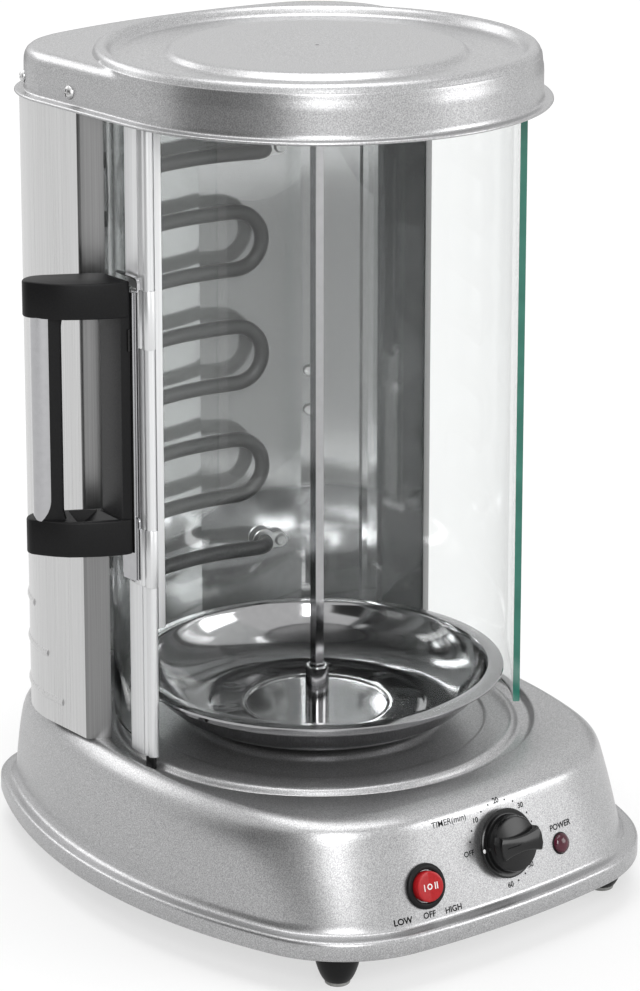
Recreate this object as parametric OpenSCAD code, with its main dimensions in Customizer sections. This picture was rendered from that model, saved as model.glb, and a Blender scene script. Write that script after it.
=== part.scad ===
// Vertical kebab grill. Millimetres. Origin on the standing plane at the spit axis, +Z up, front at -Y.

/* [Whole grill] */
// Height of the feet under the base
foot_h = 18; // [12:0.5:30]
// Height of the cooking chamber, from platform to lid
chamber_h = 317.5; // [280:0.5:380]
// Outer radius of the curved glass pane
glass_r = 104.5; // [102:0.5:112]
// Thickness of the glass pane
glass_t = 3.5; // [3:0.1:4]

/* [Base] */
// Half width of the base flange
base_half_w = 138; // [132:0.5:160]
// Distance from the spit axis to the front of the flange
base_front = 157; // [152:0.5:175]
// Distance from the spit axis to the back of the flange
base_back = 165; // [160:0.5:185]
// Height of the base from flange to top
base_h = 61.3; // [57:0.1:80]
// Height of the flange
flange_h = 10; // [7:0.5:14]
// Wall thickness of the base shell
base_wall = 2.5; // [1.5:0.1:3.5]
// Height of the glass door's lower end over the base top
plat_h = 5.7; // [5:0.1:9]

/* [Feet] */
// Radius of a foot
foot_r = 11.5; // [9:0.5:15]
// Radius of a foot pad
pad_r = 6.2; // [4:0.1:7]
// Distance of the feet from the middle line
foot_x = 87; // [70:0.5:95]
// Distance of the front feet from the spit axis
foot_front = 123; // [100:0.5:126]
// Distance of the back feet from the spit axis
foot_back = 122; // [100:0.5:130]

/* [Spit and pan] */
// Radius of the drip pan's rim
pan_r = 96; // [85:0.5:97]
// Height of the drip pan
pan_h = 25.2; // [15:0.1:35]
// Number of dimples in the pan's floor
dimples = 10; // [4:1:12]
// Width of the square spit
spit_w = 5.2; // [4.6:0.1:7]
// Outer radius of the spit socket
socket_r = 6; // [5.6:0.1:8]
// Height of the spit socket
socket_h = 21; // [12:0.5:40]

/* [Glass door] */
// Angle that the glass pane covers round the spit
pane_deg = 217; // [200:1:222]
// Width of the flat of the door profile
profile_w = 8.3; // [7:0.1:14]
// Radius of the round bead on the door profile
bead_r = 2.75; // [2.4:0.05:3.2]

/* [Handle] */
// Height of the handle's lower end over the platform
handle_low = 101.8; // [70:0.1:140]
// Height of the handle
handle_h = 138.2; // [110:0.1:160]
// Reach of the handle from the spit axis
handle_reach = 150.6; // [148:0.1:170]
// Depth of the handle from front to back
handle_w = 39; // [38:0.5:44]
// Height of a handle arm
arm_h = 18; // [12:0.1:24]
// Radius of the chrome grip bar
grip_r = 6.2; // [5:0.1:6.4]

/* [Heater] */
// Radius of the heater tube
tube_r = 4; // [3:0.1:4.2]
// Number of passes of the heater tube, an even number
passes = 8; // [4:2:8]
// Distance from one pass to the next
pitch = 31.4; // [26:0.2:34]
// Height of the lowest pass over the platform
pass_low = 46.5; // [35:0.5:60]

/* [Rear housing] */
// Thickness of the housing sheet
sheet_t = 1.2; // [0.8:0.1:1.5]
// Number of pressed louvres on the housing
louvres = 3; // [0:1:5]

/* [Lid] */
// Height of the lid from its flange to its rounded edge
lid_h = 23.5; // [22:0.5:32]
// Width of the lid's flange
lid_flange = 5; // [3:0.5:9]

/* [Controls] */
// Radius of the timer knob's skirt
knob_r = 17; // [14:0.5:19]
// Length that the timer knob stands out
knob_h = 14.5; // [13:0.5:22]
// Sideways place of the timer knob
knob_x = 1.7; // [-3:0.1:5]
// Sideways place of the rocker switch
switch_x = -48.6; // [-54:0.1:-44]
// Sideways place of the lamp
lamp_x = 37.4; // [34:0.1:46]
// Radius of the lamp's lens
lamp_r = 4.9; // [3:0.1:6]

/* [Output] */
// Node to draw

/* [Hidden] */
$fn = 96;
eps = 0.01;
run = 0.05;
top_z = foot_h + base_h;
plat_z = top_z + plat_h;
lid_z = plat_z + chamber_h;
lid_r = glass_r + 7.5;
glass_i = glass_r - glass_t;
plat_r = glass_r - 4.5;
recess_z = plat_z - 5;
pan_z = plat_z - 2.2;
rim_z = pan_z + pan_h;
front_rs = 300;
front_rf = 488;
back_rb = 600;
skirt_z = foot_h + flange_h + 2.5;
// slope of the front panel, from its foot to its shoulder
skirt_f = base_front - 8;
panel_a = 16.2;
shoulder_z = top_z - 7.7;
function panel_f(z) = skirt_f - (z - skirt_z) * tan(panel_a);
// round track for the door's lower end, and the platform inside it
track_z = top_z - 4.3;
track_r = glass_r + 7.5;
deck_z = top_z - 0.7;
handle_z = plat_z + handle_low;
arm_top = handle_z + handle_h;
heat_r = glass_r + 8;
// reflector: its back, its sides, the drop of its slanted panels and where they meet the corner strips
refl_o = glass_r + 21.5;
side_x = lid_r - 0.6;
refl_flat_x = 20;
refl_drop = 18;
seam_x = side_x - 35.4;
seam_zs = [118, 140];
refl_a = atan(refl_drop / (seam_x - refl_flat_x));
refl_d = refl_o * cos(refl_a) + refl_flat_x * sin(refl_a);
house_d = 2.5;

silver = [0.74, 0.75, 0.76];
steel = [0.7, 0.7, 0.7];
bright = [0.86, 0.86, 0.87];
dark = [0.08, 0.08, 0.085];
black = [0.03, 0.03, 0.03];

// Shared outlines

function arc_pts(c, r, a0, a1, n) = [for (i = [0:n - 1]) c + r * [cos(a0 + (a1 - a0) * i / n), sin(a0 + (a1 - a0) * i / n)]];
function ang(v) = atan2(v[1], v[0]);
// centre of a corner circle that touches two arcs from inside
function touch(p0, r0, p1, r1, s) =
    let (d = norm(p1 - p0), a = (r0 * r0 - r1 * r1 + d * d) / (2 * d), h = sqrt(r0 * r0 - a * a), e = (p1 - p0) / d)
    p0 + a * e + s * h * [e[1], -e[0]];
// right half of the base outline, from the front to the back
function base_half(w, yf, yb, rc = 68) =
    let (
        cs = [w - front_rs, 0],
        cf = [0, front_rf - yf],
        cb = [0, yb - back_rb],
        rk = 45,
        c1 = touch(cs, front_rs - rc, cf, front_rf - rc, 1),
        c2 = touch(cs, front_rs - rk, cb, back_rb - rk, -1),
        af = ang(c1 - cf),
        as = ang(c1 - cs),
        ak = ang(c2 - cs),
        ab = ang(c2 - cb)
    )
    concat(arc_pts(cf, front_rf, -90, af, 6), arc_pts(c1, rc, af, as, 10), arc_pts(cs, front_rs, as, ak, 14),
        arc_pts(c2, rk, ak, ab, 8), arc_pts(cb, back_rb, ab, 90, 5), [[0, yb]]);
function mirror_left(h) = concat(h, [for (i = [len(h) - 2:-1:1]) [-h[i][0], h[i][1]]]);
function base_ring(w, yf, yb, rc = 68) = mirror_left(base_half(w, yf, yb, rc));
// right half of the lid outline, offset by d
function lid_half(d) =
    let (
        xc = lid_r - 50,
        yb = lid_r + 21 - 360,
        yc = yb + sqrt(310 * 310 - xc * xc),
        ak = ang([xc, yc - yb]),
        w = lid_r + d
    )
    concat(arc_pts([0, 0], w, -90, 0, 24), arc_pts([xc, yc], 50 + d, 0, ak, 12), arc_pts([0, yb], 360 + d, ak, 90, 6),
        [[0, yb + 360 + d]]);
function lid_ring(d) = mirror_left(lid_half(d));
function lifted(ring, z) = [for (p = ring) [p[0], p[1], z]];

// solid through a stack of rings that all have the same number of points
module loft(rings) {
    n = len(rings[0]);
    m = len(rings);
    pts = [for (r = rings) for (p = r) p];
    sides = [for (j = [0:m - 2]) for (i = [0:n - 1]) for (k = [0, 1])
        let (a = j * n + i, b = j * n + (i + 1) % n, c = a + n, e = b + n)
        k == 0 ? [a, e, b] : [a, c, e]];
    low = [for (i = [1:n - 2]) [0, i, i + 1]];
    high = [for (i = [1:n - 2]) [(m - 1) * n, (m - 1) * n + i + 1, (m - 1) * n + i]];
    polyhedron(points = pts, faces = concat(sides, low, high), convexity = 6);
}

// the lid outline as true arcs, offset by d
module lid_flat(d) {
    xc = lid_r - 50;
    yb = lid_r + 21 - 360;
    yc = yb + sqrt(310 * 310 - xc * xc);
    tx = (360 + d) * xc / 310;
    circle(r = lid_r + d);
    translate([-(lid_r + d), 0]) square([2 * (lid_r + d), yc]);
    for (s = [-1, 1]) translate([s * xc, yc]) circle(r = 50 + d);
    intersection() {
        translate([0, yb]) circle(r = 360 + d);
        translate([-tx, 0]) square([2 * tx, lid_r + 40 + d]);
    }
}

// place a child on the front panel: local X across, local Y up the slope, local Z outward
function panel_y(x, z) = -panel_f(z) + front_rf - sqrt(front_rf * front_rf - x * x);
module on_panel(x, z) {
    translate([x, panel_y(x, z), z]) rotate([0, 0, asin(x / front_rf)]) rotate([90 - panel_a, 0, 0]) children();
}

module bar_box(x0, x1, y0, y1, z0, z1) {
    translate([x0, y0, z0]) cube([x1 - x0, y1 - y0, z1 - z0]);
}
module tube_ring(ro, ri, z0, z1) {
    translate([0, 0, z0]) difference() {
        cylinder(r = ro, h = z1 - z0);
        translate([0, 0, -1]) cylinder(r = ri, h = z1 - z0 + 2);
    }
}

// Base

boss_x = base_half_w - 44;
boss_x2 = base_half_w - 47;
boss_f = base_front - 67;
boss_b = base_back - 80;
corner_pts = [[-boss_x, -boss_f], [boss_x, -boss_f], [-boss_x2, boss_b], [boss_x2, boss_b]];
plate_pts = concat(corner_pts, [[0, base_back - 19]]);
motor_pts = [[-45, -22], [45, -22], [-45, 22], [45, 22]];
house_pts = [[-(lid_r - 9), 70], [lid_r - 9, 70], [-60, lid_r + 5], [60, lid_r + 5]];
switch_z = skirt_z + 14.8;
knob_z = skirt_z + 23.3;
lamp_z = skirt_z + 13.7;
gland_z = foot_h + 30;

// section of the platform: raised boss under the pan, lower ring, rim, track
module platform() {
    rotate_extrude() polygon([[8, recess_z - 2.5], [8, recess_z], [plat_r - 41.5, recess_z], [plat_r - 39, recess_z - 0.4],
        [plat_r - 37, recess_z - 1.3], [plat_r - 35.2, deck_z - 0.8], [plat_r - 33, deck_z - 1], [plat_r - 14.8, deck_z - 1],
        [plat_r - 13.8, deck_z - 0.4], [plat_r - 12.6, deck_z], [plat_r - 1.4, deck_z], [plat_r + 0.2, deck_z - 0.3],
        [plat_r + 1.3, deck_z - 1], [plat_r + 2.1, deck_z - 2.1], [plat_r + 2.8, track_z + 0.5], [plat_r + 3.8, track_z],
        [track_r - 3, track_z], [track_r - 2.2, track_z + 0.5], [track_r - 1.4, top_z - 1.7], [track_r - 0.8, top_z - 0.5],
        [track_r + 0.2, top_z], [track_r + 0.8, top_z - 0.1], [track_r + 0.8, top_z - 2.4], [track_r + 0.4, track_z - 2.4],
        [plat_r + 2, track_z - 2.4], [plat_r + 0.4, deck_z - 3], [plat_r - 1, deck_z - 3.4], [plat_r - 36, deck_z - 3.4],
        [plat_r - 41, recess_z - 2.5]]);
}

module base_outer() {
    z0 = foot_h;
    f = flange_h;
    w = base_half_w;
    y = base_front;
    b = base_back;
    loft([lifted(base_ring(w - 1, y - 1, b - 1), z0),
        lifted(base_ring(w, y, b), z0 + 1),
        lifted(base_ring(w, y, b), z0 + f - 1.5),
        lifted(base_ring(w - 1.5, y - 1.5, b - 1.5), z0 + f),
        lifted(base_ring(w - 6, panel_f(z0 + f + eps), b - 6), z0 + f + eps),
        lifted(base_ring(w - 8.4, skirt_f, b - 8.4), skirt_z),
        lifted(base_ring(w - 10.4, panel_f(skirt_z + 20), b - 10.4, 74), skirt_z + 20),
        lifted(base_ring(w - 12.9, panel_f(shoulder_z - 5.6), b - 12.5, 77), shoulder_z - 5.6),
        lifted(base_ring(w - 15.6, panel_f(shoulder_z), b - 15, 74), shoulder_z),
        lifted(base_ring(w - 18.5, y - 24.2, b - 18.5, 70), top_z - 3.7),
        lifted(base_ring(w - 21.4, y - 29, b - 22, 66), top_z - 1.3),
        lifted(base_ring(w - 25, y - 34, b - 26, 62), top_z)]);
}

module base_inner() {
    z0 = foot_h;
    f = flange_h;
    w = base_half_w;
    y = base_front;
    b = base_back;
    t = base_wall;
    loft([lifted(base_ring(w - t, y - t, b - t), z0 - 1),
        lifted(base_ring(w - t, y - t, b - t), z0 + f - t),
        lifted(base_ring(w - 8.4 - t, skirt_f - t, b - 8.4 - t), z0 + f - t + eps),
        lifted(base_ring(w - 8.6 - t, skirt_f - t - 0.2, b - 8.6 - t), skirt_z),
        lifted(base_ring(w - 10.6 - t, panel_f(skirt_z + 20) - t - 0.2, b - 10.6 - t, 74), skirt_z + 20),
        lifted(base_ring(w - 13.2 - t, panel_f(shoulder_z - 5.6) - t - 0.2, b - 12.8 - t, 77), shoulder_z - 5.6),
        lifted(base_ring(w - 16.6 - t, panel_f(shoulder_z) - t - 1, b - 16 - t, 74), shoulder_z),
        lifted(base_ring(w - 20.4 - t, y - 27 - t, b - 20.5 - t, 70), top_z - t - 1.5),
        lifted(base_ring(w - 24 - t, y - 32 - t, b - 24 - t, 64), top_z - t)]);
}

module base_shell() color(silver) {
    difference() {
        union() {
            difference() {
                base_outer();
                base_inner();
                translate([0, 0, top_z - 20]) cylinder(r = track_r, h = 40);
            }
            platform();
            // seat of the rear housing
            wall_band(house_d - sheet_t - 1, house_d + 0.2, top_z - 2.4, top_z, fold_y - 8);
            for (p = plate_pts) translate([p[0], p[1], foot_h + 2.2]) cylinder(r = 4.5, h = base_h - base_wall - 14);
            for (p = corner_pts)
                translate([p[0], p[1], top_z - 16]) cylinder(r = 4.5, h = 16 - base_wall + 0.5);
            bar_box(-2, 2, base_back - 25, base_back - 14.5, foot_h + 12, top_z - 14);
            for (p = motor_pts) translate([p[0], p[1], recess_z - 12]) cylinder(r = 4, h = 10);
        }
        for (p = plate_pts) translate([p[0], p[1], foot_h + 2]) cylinder(r = 1.8, h = 16);
        for (p = motor_pts) translate([p[0], p[1], recess_z - 13]) cylinder(r = 1.8, h = 9);
        for (p = house_pts) translate([p[0], p[1], top_z - 10]) cylinder(r = 1.7, h = 20);
        on_panel(switch_x, switch_z) translate([0, 0, -8]) cylinder(r = 10.3, h = 20);
        on_panel(knob_x, knob_z) translate([0, 0, -8]) cylinder(r = 4.1, h = 20);
        on_panel(lamp_x, lamp_z) translate([0, 0, -8]) cylinder(r = lamp_r + 0.1, h = 20);
        translate([60, base_back - 30, gland_z]) rotate([-90, 0, 0]) cylinder(r = 7, h = 40);
    }
}

module base_plate() color(steel) {
    difference() {
        translate([0, 0, foot_h + 1]) linear_extrude(1.2)
            polygon(base_ring(base_half_w - base_wall - 0.1, base_front - base_wall - 0.1, base_back - base_wall - 0.1));
        for (p = plate_pts) translate([p[0], p[1], foot_h]) cylinder(r = 2, h = 4);
        for (x = [-foot_x, foot_x]) for (y = [-foot_front, foot_back])
            translate([x, y, foot_h]) cylinder(r = 2.55, h = 4);
    }
}

module base_screws() color(steel) {
    for (p = plate_pts) translate([p[0], p[1], foot_h - 0.6]) {
        difference() {
            cylinder(r = 3.4, h = 1.6);
            translate([-2, -0.4, -1]) cube([4, 0.8, 1.6]);
            translate([-0.4, -2, -1]) cube([0.8, 4, 1.6]);
        }
        cylinder(r = 1.75, h = 14);
    }
}

module feet() color(black) {
    for (x = [-foot_x, foot_x]) for (y = [-foot_front, foot_back]) translate([x, y, 0]) {
        difference() {
            rotate_extrude() polygon([[0, 2], [pad_r + 0.4, 2], [foot_r - 3.4, 4.4], [foot_r - 1.9, 7.8], [foot_r - 0.7, 11.8],
                [foot_r - 0.1, 15.5], [foot_r, foot_h + 1], [0, foot_h + 1]]);
            translate([0, 0, -1]) cylinder(r = pad_r, h = 5);
        }
        translate([0, 0, foot_h]) cylinder(r = 2.5, h = 3);
        translate([0, 0, foot_h + 2.2]) cylinder(r1 = 3.2, r2 = 1.6, h = 3);
    }
}

module foot_pads() color([0.62, 0.62, 0.6]) {
    for (x = [-foot_x, foot_x]) for (y = [-foot_front, foot_back]) translate([x, y, 0]) cylinder(r = pad_r, h = 4);
}

// Drive

module motor_plate() color(steel) {
    difference() {
        bar_box(-0.54 * plat_r, 0.54 * plat_r, -0.31 * plat_r, 0.31 * plat_r, recess_z - 14, recess_z - 12);
        translate([0, 0, recess_z - 20]) cylinder(r = 7, h = 20);
        for (p = motor_pts) translate([p[0], p[1], recess_z - 20]) cylinder(r = 2, h = 20);
        for (x = [-30, 30]) translate([x, 0, recess_z - 20]) cylinder(r = 1.7, h = 20);
    }
}

module motor_screws() color(steel) {
    for (p = motor_pts) translate([p[0], p[1], recess_z - 16.2]) {
        cylinder(r = 3.4, h = 2.2);
        cylinder(r = 1.75, h = 9);
    }
    for (x = [-30, 30]) translate([x, 0, recess_z - 15]) {
        translate([0, 0, 3]) cylinder(r = 3.2, h = 2);
        translate([0, 0, -5]) cylinder(r = 1.65, h = 9);
    }
}

module gear_motor() color([0.55, 0.56, 0.58]) {
    difference() {
        union() {
            translate([0, 0, recess_z - 30]) cylinder(r = 24, h = 16);
            translate([0, 0, recess_z - 36]) cylinder(r = 19, h = 7);
            bar_box(-36, 36, -7, 7, recess_z - 18, recess_z - 14);
            bar_box(-8, 8, -30, -20, recess_z - 27, recess_z - 19);
        }
        translate([0, 0, recess_z - 24]) cylinder(r = 5 + run, h = 20);
        for (x = [-30, 30]) translate([x, 0, recess_z - 22]) cylinder(r = 1.7, h = 12);
    }
}

module drive_bush() color([0.75, 0.62, 0.36]) {
    difference() {
        union() {
            translate([0, 0, recess_z - 4.5]) cylinder(r = 8, h = 4.5);
            translate([0, 0, recess_z - 4.5]) cylinder(r = 11, h = 2);
        }
        translate([0, 0, recess_z - 8]) cylinder(r = 5 + run, h = 12);
    }
}

module drive_coupling() color(steel) {
    translate([0, 0, recess_z - 22]) cylinder(r = 5, h = 23);
    translate([0, 0, recess_z + 0.4]) cylinder(r = 22, h = pan_z - recess_z - 0.4);
    translate([0, 0, pan_z - 0.5]) cylinder(r = 4, h = 5.5);
}

// pan section, as parts of the rim's radius and the pan's height
pan_out = [[0.375, 0], [0.394, 0.046], [0.57, 0.046], [0.64, 0.04], [0.688, 0.05], [0.75, 0.15], [0.813, 0.3], [0.865, 0.484],
    [0.9, 0.643], [0.913, 0.714], [0.931, 0.913], [0.948, 0.933], [0.994, 0.909], [1, 0.944], [0.996, 0.964]];
pan_in = [[0.958, 0.992], [0.929, 1], [0.917, 0.984], [0.902, 0.889], [0.885, 0.746], [0.856, 0.579], [0.819, 0.429], [0.771, 0.286],
    [0.719, 0.175], [0.667, 0.107], [0.594, 0.0873], [0.411, 0.0873], [0.394, 0.0873], [0.379, 0.05], [0.369, 0.0417]];
function pan_at(q) = [q[0] * pan_r, pan_z + q[1] * pan_h];
module drip_pan() color(bright) {
    difference() {
        rotate_extrude() polygon(concat([[4 + run, pan_z]], [for (q = pan_out) pan_at(q)],
            [for (q = pan_in) pan_at(q)], [[4 + run, pan_z + 0.0417 * pan_h]]));
        for (i = [0:dimples - 1]) rotate([0, 0, i * 360 / dimples + 9])
            translate([pan_r * 0.516, 0, pan_z + 0.0873 * pan_h + 14.5]) sphere(r = 15);
    }
}

module spit_socket() color(bright) {
    z = pan_z + 0.0417 * pan_h;
    difference() {
        translate([0, 0, z]) cylinder(r = socket_r, h = socket_h);
        translate([0, 0, z - 1]) cylinder(r = 4 + run, h = 5.2);
        translate([-spit_w / 2 - run, -spit_w / 2 - run, z + 6]) cube([spit_w + 2 * run, spit_w + 2 * run, socket_h]);
    }
}

module spit() color(bright) {
    z = pan_z + 0.0417 * pan_h + 6;
    bar_box(-spit_w / 2, spit_w / 2, -spit_w / 2, spit_w / 2, z, lid_z - 2);
    translate([0, 0, lid_z - 3]) cylinder(r = 2.4, h = 11);
}

module upper_bearing() color([0.9, 0.88, 0.82]) {
    difference() {
        union() {
            translate([0, 0, lid_z - 1]) cylinder(r = 9, h = 9);
            translate([0, 0, lid_z - 1]) cylinder(r = 13, h = 1.7);
        }
        translate([0, 0, lid_z - 3]) cylinder(r = 2.4 + run, h = 14);
    }
}

// Controls on the front panel

module timer_body() color(dark) on_panel(knob_x, knob_z) {
    difference() {
        union() {
            translate([-18, -16, -30]) cube([36, 32, 26]);
            translate([0, 0, -4.5]) cylinder(r = 4, h = 6.3);
        }
        translate([0, 0, -20]) cylinder(r = 2 + run, h = 30);
    }
}
module timer_nut() color(steel) on_panel(knob_x, knob_z) {
    difference() {
        cylinder(r = 6.4, h = 1.7, $fn = 6);
        translate([0, 0, -1]) cylinder(r = 4, h = 6);
    }
}
module timer_shaft() color(steel) on_panel(knob_x, knob_z) translate([0, 0, -18]) cylinder(r = 2, h = 18 + knob_h - 6);
module knob_round(r, h) {
    rotate_extrude() polygon([[0, 0], [r, 0], [r - 0.2, h - 3], [r - 1, h - 1], [r - 2.6, h], [0, h]]);
}
module timer_knob() color(black) on_panel(knob_x, knob_z) {
    body_r = knob_r - 3.2;
    difference() {
        union() {
            rotate_extrude() polygon([[0, 2.2], [knob_r - 0.6, 2.2], [knob_r, 2.8], [knob_r, 3.6], [knob_r - 0.7, 4.3],
                [knob_r - 1.4, 4.3], [knob_r - 2.8, 4], [body_r, 4.6], [body_r - 0.3, knob_h - 7], [body_r - 1.2, knob_h - 5.7],
                [0, knob_h - 5.6]]);
            // grip across the knob, waisted in the middle
            intersection() {
                translate([0, 0, 4]) linear_extrude(knob_h - 4) polygon([[-knob_r, -6.6], [-8, -5.1], [0, -4.4], [8, -5.1],
                    [knob_r, -6.6], [knob_r, 6.6], [8, 5.1], [0, 4.4], [-8, 5.1], [-knob_r, 6.6]]);
                knob_round(body_r - 2.2, knob_h);
            }
        }
        cylinder(r = 2, h = knob_h - 6);
        cylinder(r = 8, h = 5);
        translate([-knob_r + 1.7, 0, 3]) cylinder(r = 1.4, h = 3);
    }
}
module knob_mark() color([0.95, 0.95, 0.95]) on_panel(knob_x, knob_z) translate([-knob_r + 1.7, 0, 3]) cylinder(r = 1.4, h = 1.6);
switch_r = 11.8;
rocker_r = 8.2;
module switch_body() color(black) on_panel(switch_x, switch_z) {
    difference() {
        union() {
            rotate_extrude() polygon([[0, 0.12], [switch_r - 0.3, 0.12], [switch_r, 0.5], [switch_r - 0.1, 1.2], [switch_r - 0.5, 1.8],
                [switch_r - 1.2, 2.2], [0, 2.2]]);
            translate([0, 0, -20]) cylinder(r = 10.2, h = 20.2);
        }
        translate([0, 0, -7]) cylinder(r = rocker_r + 0.6, h = 12);
        rotate([90, 0, 0]) translate([0, 0, -10.1]) cylinder(r = 0.8 + run, h = 20.2);
    }
    for (x = [-5, 0, 5]) translate([x - 0.4, -3, -28]) cube([0.8, 6, 9]);
}
module rocker_cap() color([0.72, 0.04, 0.03]) on_panel(switch_x, switch_z) {
    intersection() {
        translate([0, 0, -3]) cylinder(r = rocker_r, h = 12);
        rotate([90, 0, 0]) translate([0, 0, -10]) linear_extrude(20)
            polygon([[-9, -3.5], [9, -3.5], [9, 5.4], [0, 4], [-9, 5.4]]);
    }
    rotate([90, 0, 0]) translate([0, 0, -10]) cylinder(r = 0.8, h = 20);
}
module lamp_lens() color([0.35, 0.02, 0.08, 0.9]) on_panel(lamp_x, lamp_z) rotate_extrude()
    polygon([[0, -4], [lamp_r, -4], [lamp_r, 0.6], [lamp_r * 0.94, 1.6], [lamp_r * 0.77, 2.5], [lamp_r * 0.5, 3.1], [0, 3.5]]);
module lamp_body() color(dark) on_panel(lamp_x, lamp_z) {
    translate([0, 0, -16]) cylinder(r = lamp_r, h = 12);
    translate([0, 0, -7]) cylinder(r = lamp_r + 1.6, h = 2);
}
module terminal_block() color([0.92, 0.9, 0.85]) {
    difference() {
        bar_box(-90, -50, 100, 118, foot_h + 2.2, foot_h + 20);
        for (x = [-83, -70, -57]) translate([x, 109, foot_h + 12]) cylinder(r = 3, h = 10);
    }
}
module cord_gland() color(black) translate([60, 0, gland_z]) rotate([-90, 0, 0]) difference() {
    union() {
        translate([0, 0, base_back - 24]) cylinder(r = 6.95, h = 22);
        translate([0, 0, base_back - 11.8]) cylinder(r = 9.5, h = 4);
        translate([0, 0, base_back - 27]) cylinder(r = 9, h = 6);
        translate([0, 0, base_back - 8.4]) cylinder(r1 = 8, r2 = 5.5, h = 14);
    }
    translate([0, 0, base_back - 40]) cylinder(r = 3.6, h = 60);
}
module thermal_cutout() color([0.9, 0.9, 0.88]) {
    translate([-9, refl_o + refl_t, plat_z + 200]) rotate([-90, 0, 0]) cylinder(r = 8, h = 3.2);
}

// Rear housing, reflector and heater

module wall_band(d0, d1, z0, z1, y0) {
    translate([0, 0, z0]) linear_extrude(z1 - z0) intersection() {
        difference() {
            lid_flat(d1);
            lid_flat(d0);
        }
        translate([-200, y0]) square([400, 300]);
    }
}
fold_y = 43;
fold_x = lid_r + house_d;
module rear_housing() color(steel) {
    difference() {
        union() {
            wall_band(house_d - sheet_t, house_d, top_z, lid_z, fold_y);
            // folded front edges
            for (s = [-1, 1]) scale([1, 1, 1]) translate([0, 0, top_z]) linear_extrude(lid_z - top_z)
                polygon([[s * fold_x, fold_y], [s * (fold_x - 10.5), fold_y - 7], [s * (fold_x - 10.5), fold_y - 7 + sheet_t * 1.2],
                    [s * (fold_x - sheet_t), fold_y + sheet_t * 0.6], [s * (fold_x - sheet_t), fold_y + 2], [s * fold_x, fold_y + 2]]);
            // foot flange on the base
            wall_band(house_d - 13, house_d - sheet_t + eps, top_z, top_z + 1.2, 50);
            for (i = [0:1:louvres - 1]) wall_band(house_d - 0.4, house_d + 1.6, top_z + 11.2 + 23 * i, top_z + 15.2 + 23 * i, 62 + 14 * i);
        }
        for (p = house_pts) translate([p[0], p[1], top_z - 3]) cylinder(r = 2, h = 6);
    }
}
module housing_screws() color(steel) {
    for (p = house_pts) translate([p[0], p[1], top_z - 6]) {
        cylinder(r = 1.65, h = 8);
        translate([0, 0, 7.2]) cylinder(r = 3.2, h = 1.8);
    }
}

refl_t = 0.8;
refl_seat = fold_y + 3;
// inner face of the right half, from the middle of the back to the front edge
refl_in = [[0, refl_o], [refl_flat_x, refl_o], [seam_x, refl_o - refl_drop], [seam_x + 18, refl_o - refl_drop - 12],
    [side_x - 8.4, refl_o - 36], [side_x - 7.8, refl_o - 38], [side_x - 5.2, refl_o - 39.5],
    [side_x - 4.2, refl_o - 38.4], [side_x, refl_o - 41.5], [side_x, refl_seat]];
function left_n(a, b) = [a[1] - b[1], b[0] - a[0]] / norm(b - a);
function miter(n1, n2) = (n1 + n2) / (1 + n1 * n2);
refl_out = [for (i = [1:len(refl_in) - 2])
    refl_in[i] + refl_t * miter(left_n(refl_in[i - 1], refl_in[i]), left_n(refl_in[i], refl_in[i + 1]))];
refl_right = concat(refl_in, [[fold_x - sheet_t, refl_seat], [fold_x - sheet_t, refl_seat + refl_t],
    [side_x + refl_t, refl_seat + refl_t]],
    [for (i = [len(refl_out) - 1:-1:0]) refl_out[i]], [[0, refl_o + refl_t]]);
// both halves as one closed strip: inner faces first, then the outer faces back again
module refl_flat() {
    n = len(refl_in);
    m = len(refl_right);
    inner = [for (i = [0:n - 1]) refl_right[i]];
    outer = [for (i = [n:m - 1]) refl_right[i]];
    polygon(concat([for (i = [n - 1:-1:1]) [-inner[i][0], inner[i][1]]], inner, outer,
        [for (i = [len(outer) - 2:-1:0]) [-outer[i][0], outer[i][1]]]));
}
module reflector() color([0.88, 0.88, 0.89]) {
    difference() {
        translate([0, 0, plat_z + 4]) linear_extrude(chamber_h - 5) refl_flat();
        for (k = [0, passes - 1]) at_end(k) rotate([-90, 0, 0]) cylinder(r = 5, h = 30);
        for (k = [0, passes - 1]) at_end(k) translate([9.4, 0, 0]) rotate([-90, 0, 0]) cylinder(r = 1.7, h = 30);
        for (s = [-1, 1]) for (z = seam_zs) at_seam(s, z) translate([0, 0, -4]) cylinder(r = 1.7, h = 12);
    }
}
module at_seam(s, z) {
    mirror([s < 0 ? 1 : 0, 0, 0]) translate([seam_x + 3.5, refl_o - refl_drop - 3.5 * 12 / 18, plat_z + z])
        rotate([0, 0, -atan(12 / 18)]) rotate([90, 0, 0]) children();
}
module reflector_screws() color(steel) {
    for (s = [-1, 1]) for (z = seam_zs) at_seam(s, z) {
        difference() {
            translate([0, 0, run]) cylinder(r1 = 3.2, r2 = 2.2, h = 1.6);
            translate([-2, -0.4, 1]) cube([4, 0.8, 2]);
            translate([-0.4, -2, 1]) cube([0.8, 4, 2]);
        }
        translate([0, 0, -4]) cylinder(r = 1.65, h = 5);
    }
}

pass_a = 15.8;
function pass_z(k) = plat_z + pass_low + pitch * (passes - 1 - k);
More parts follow.
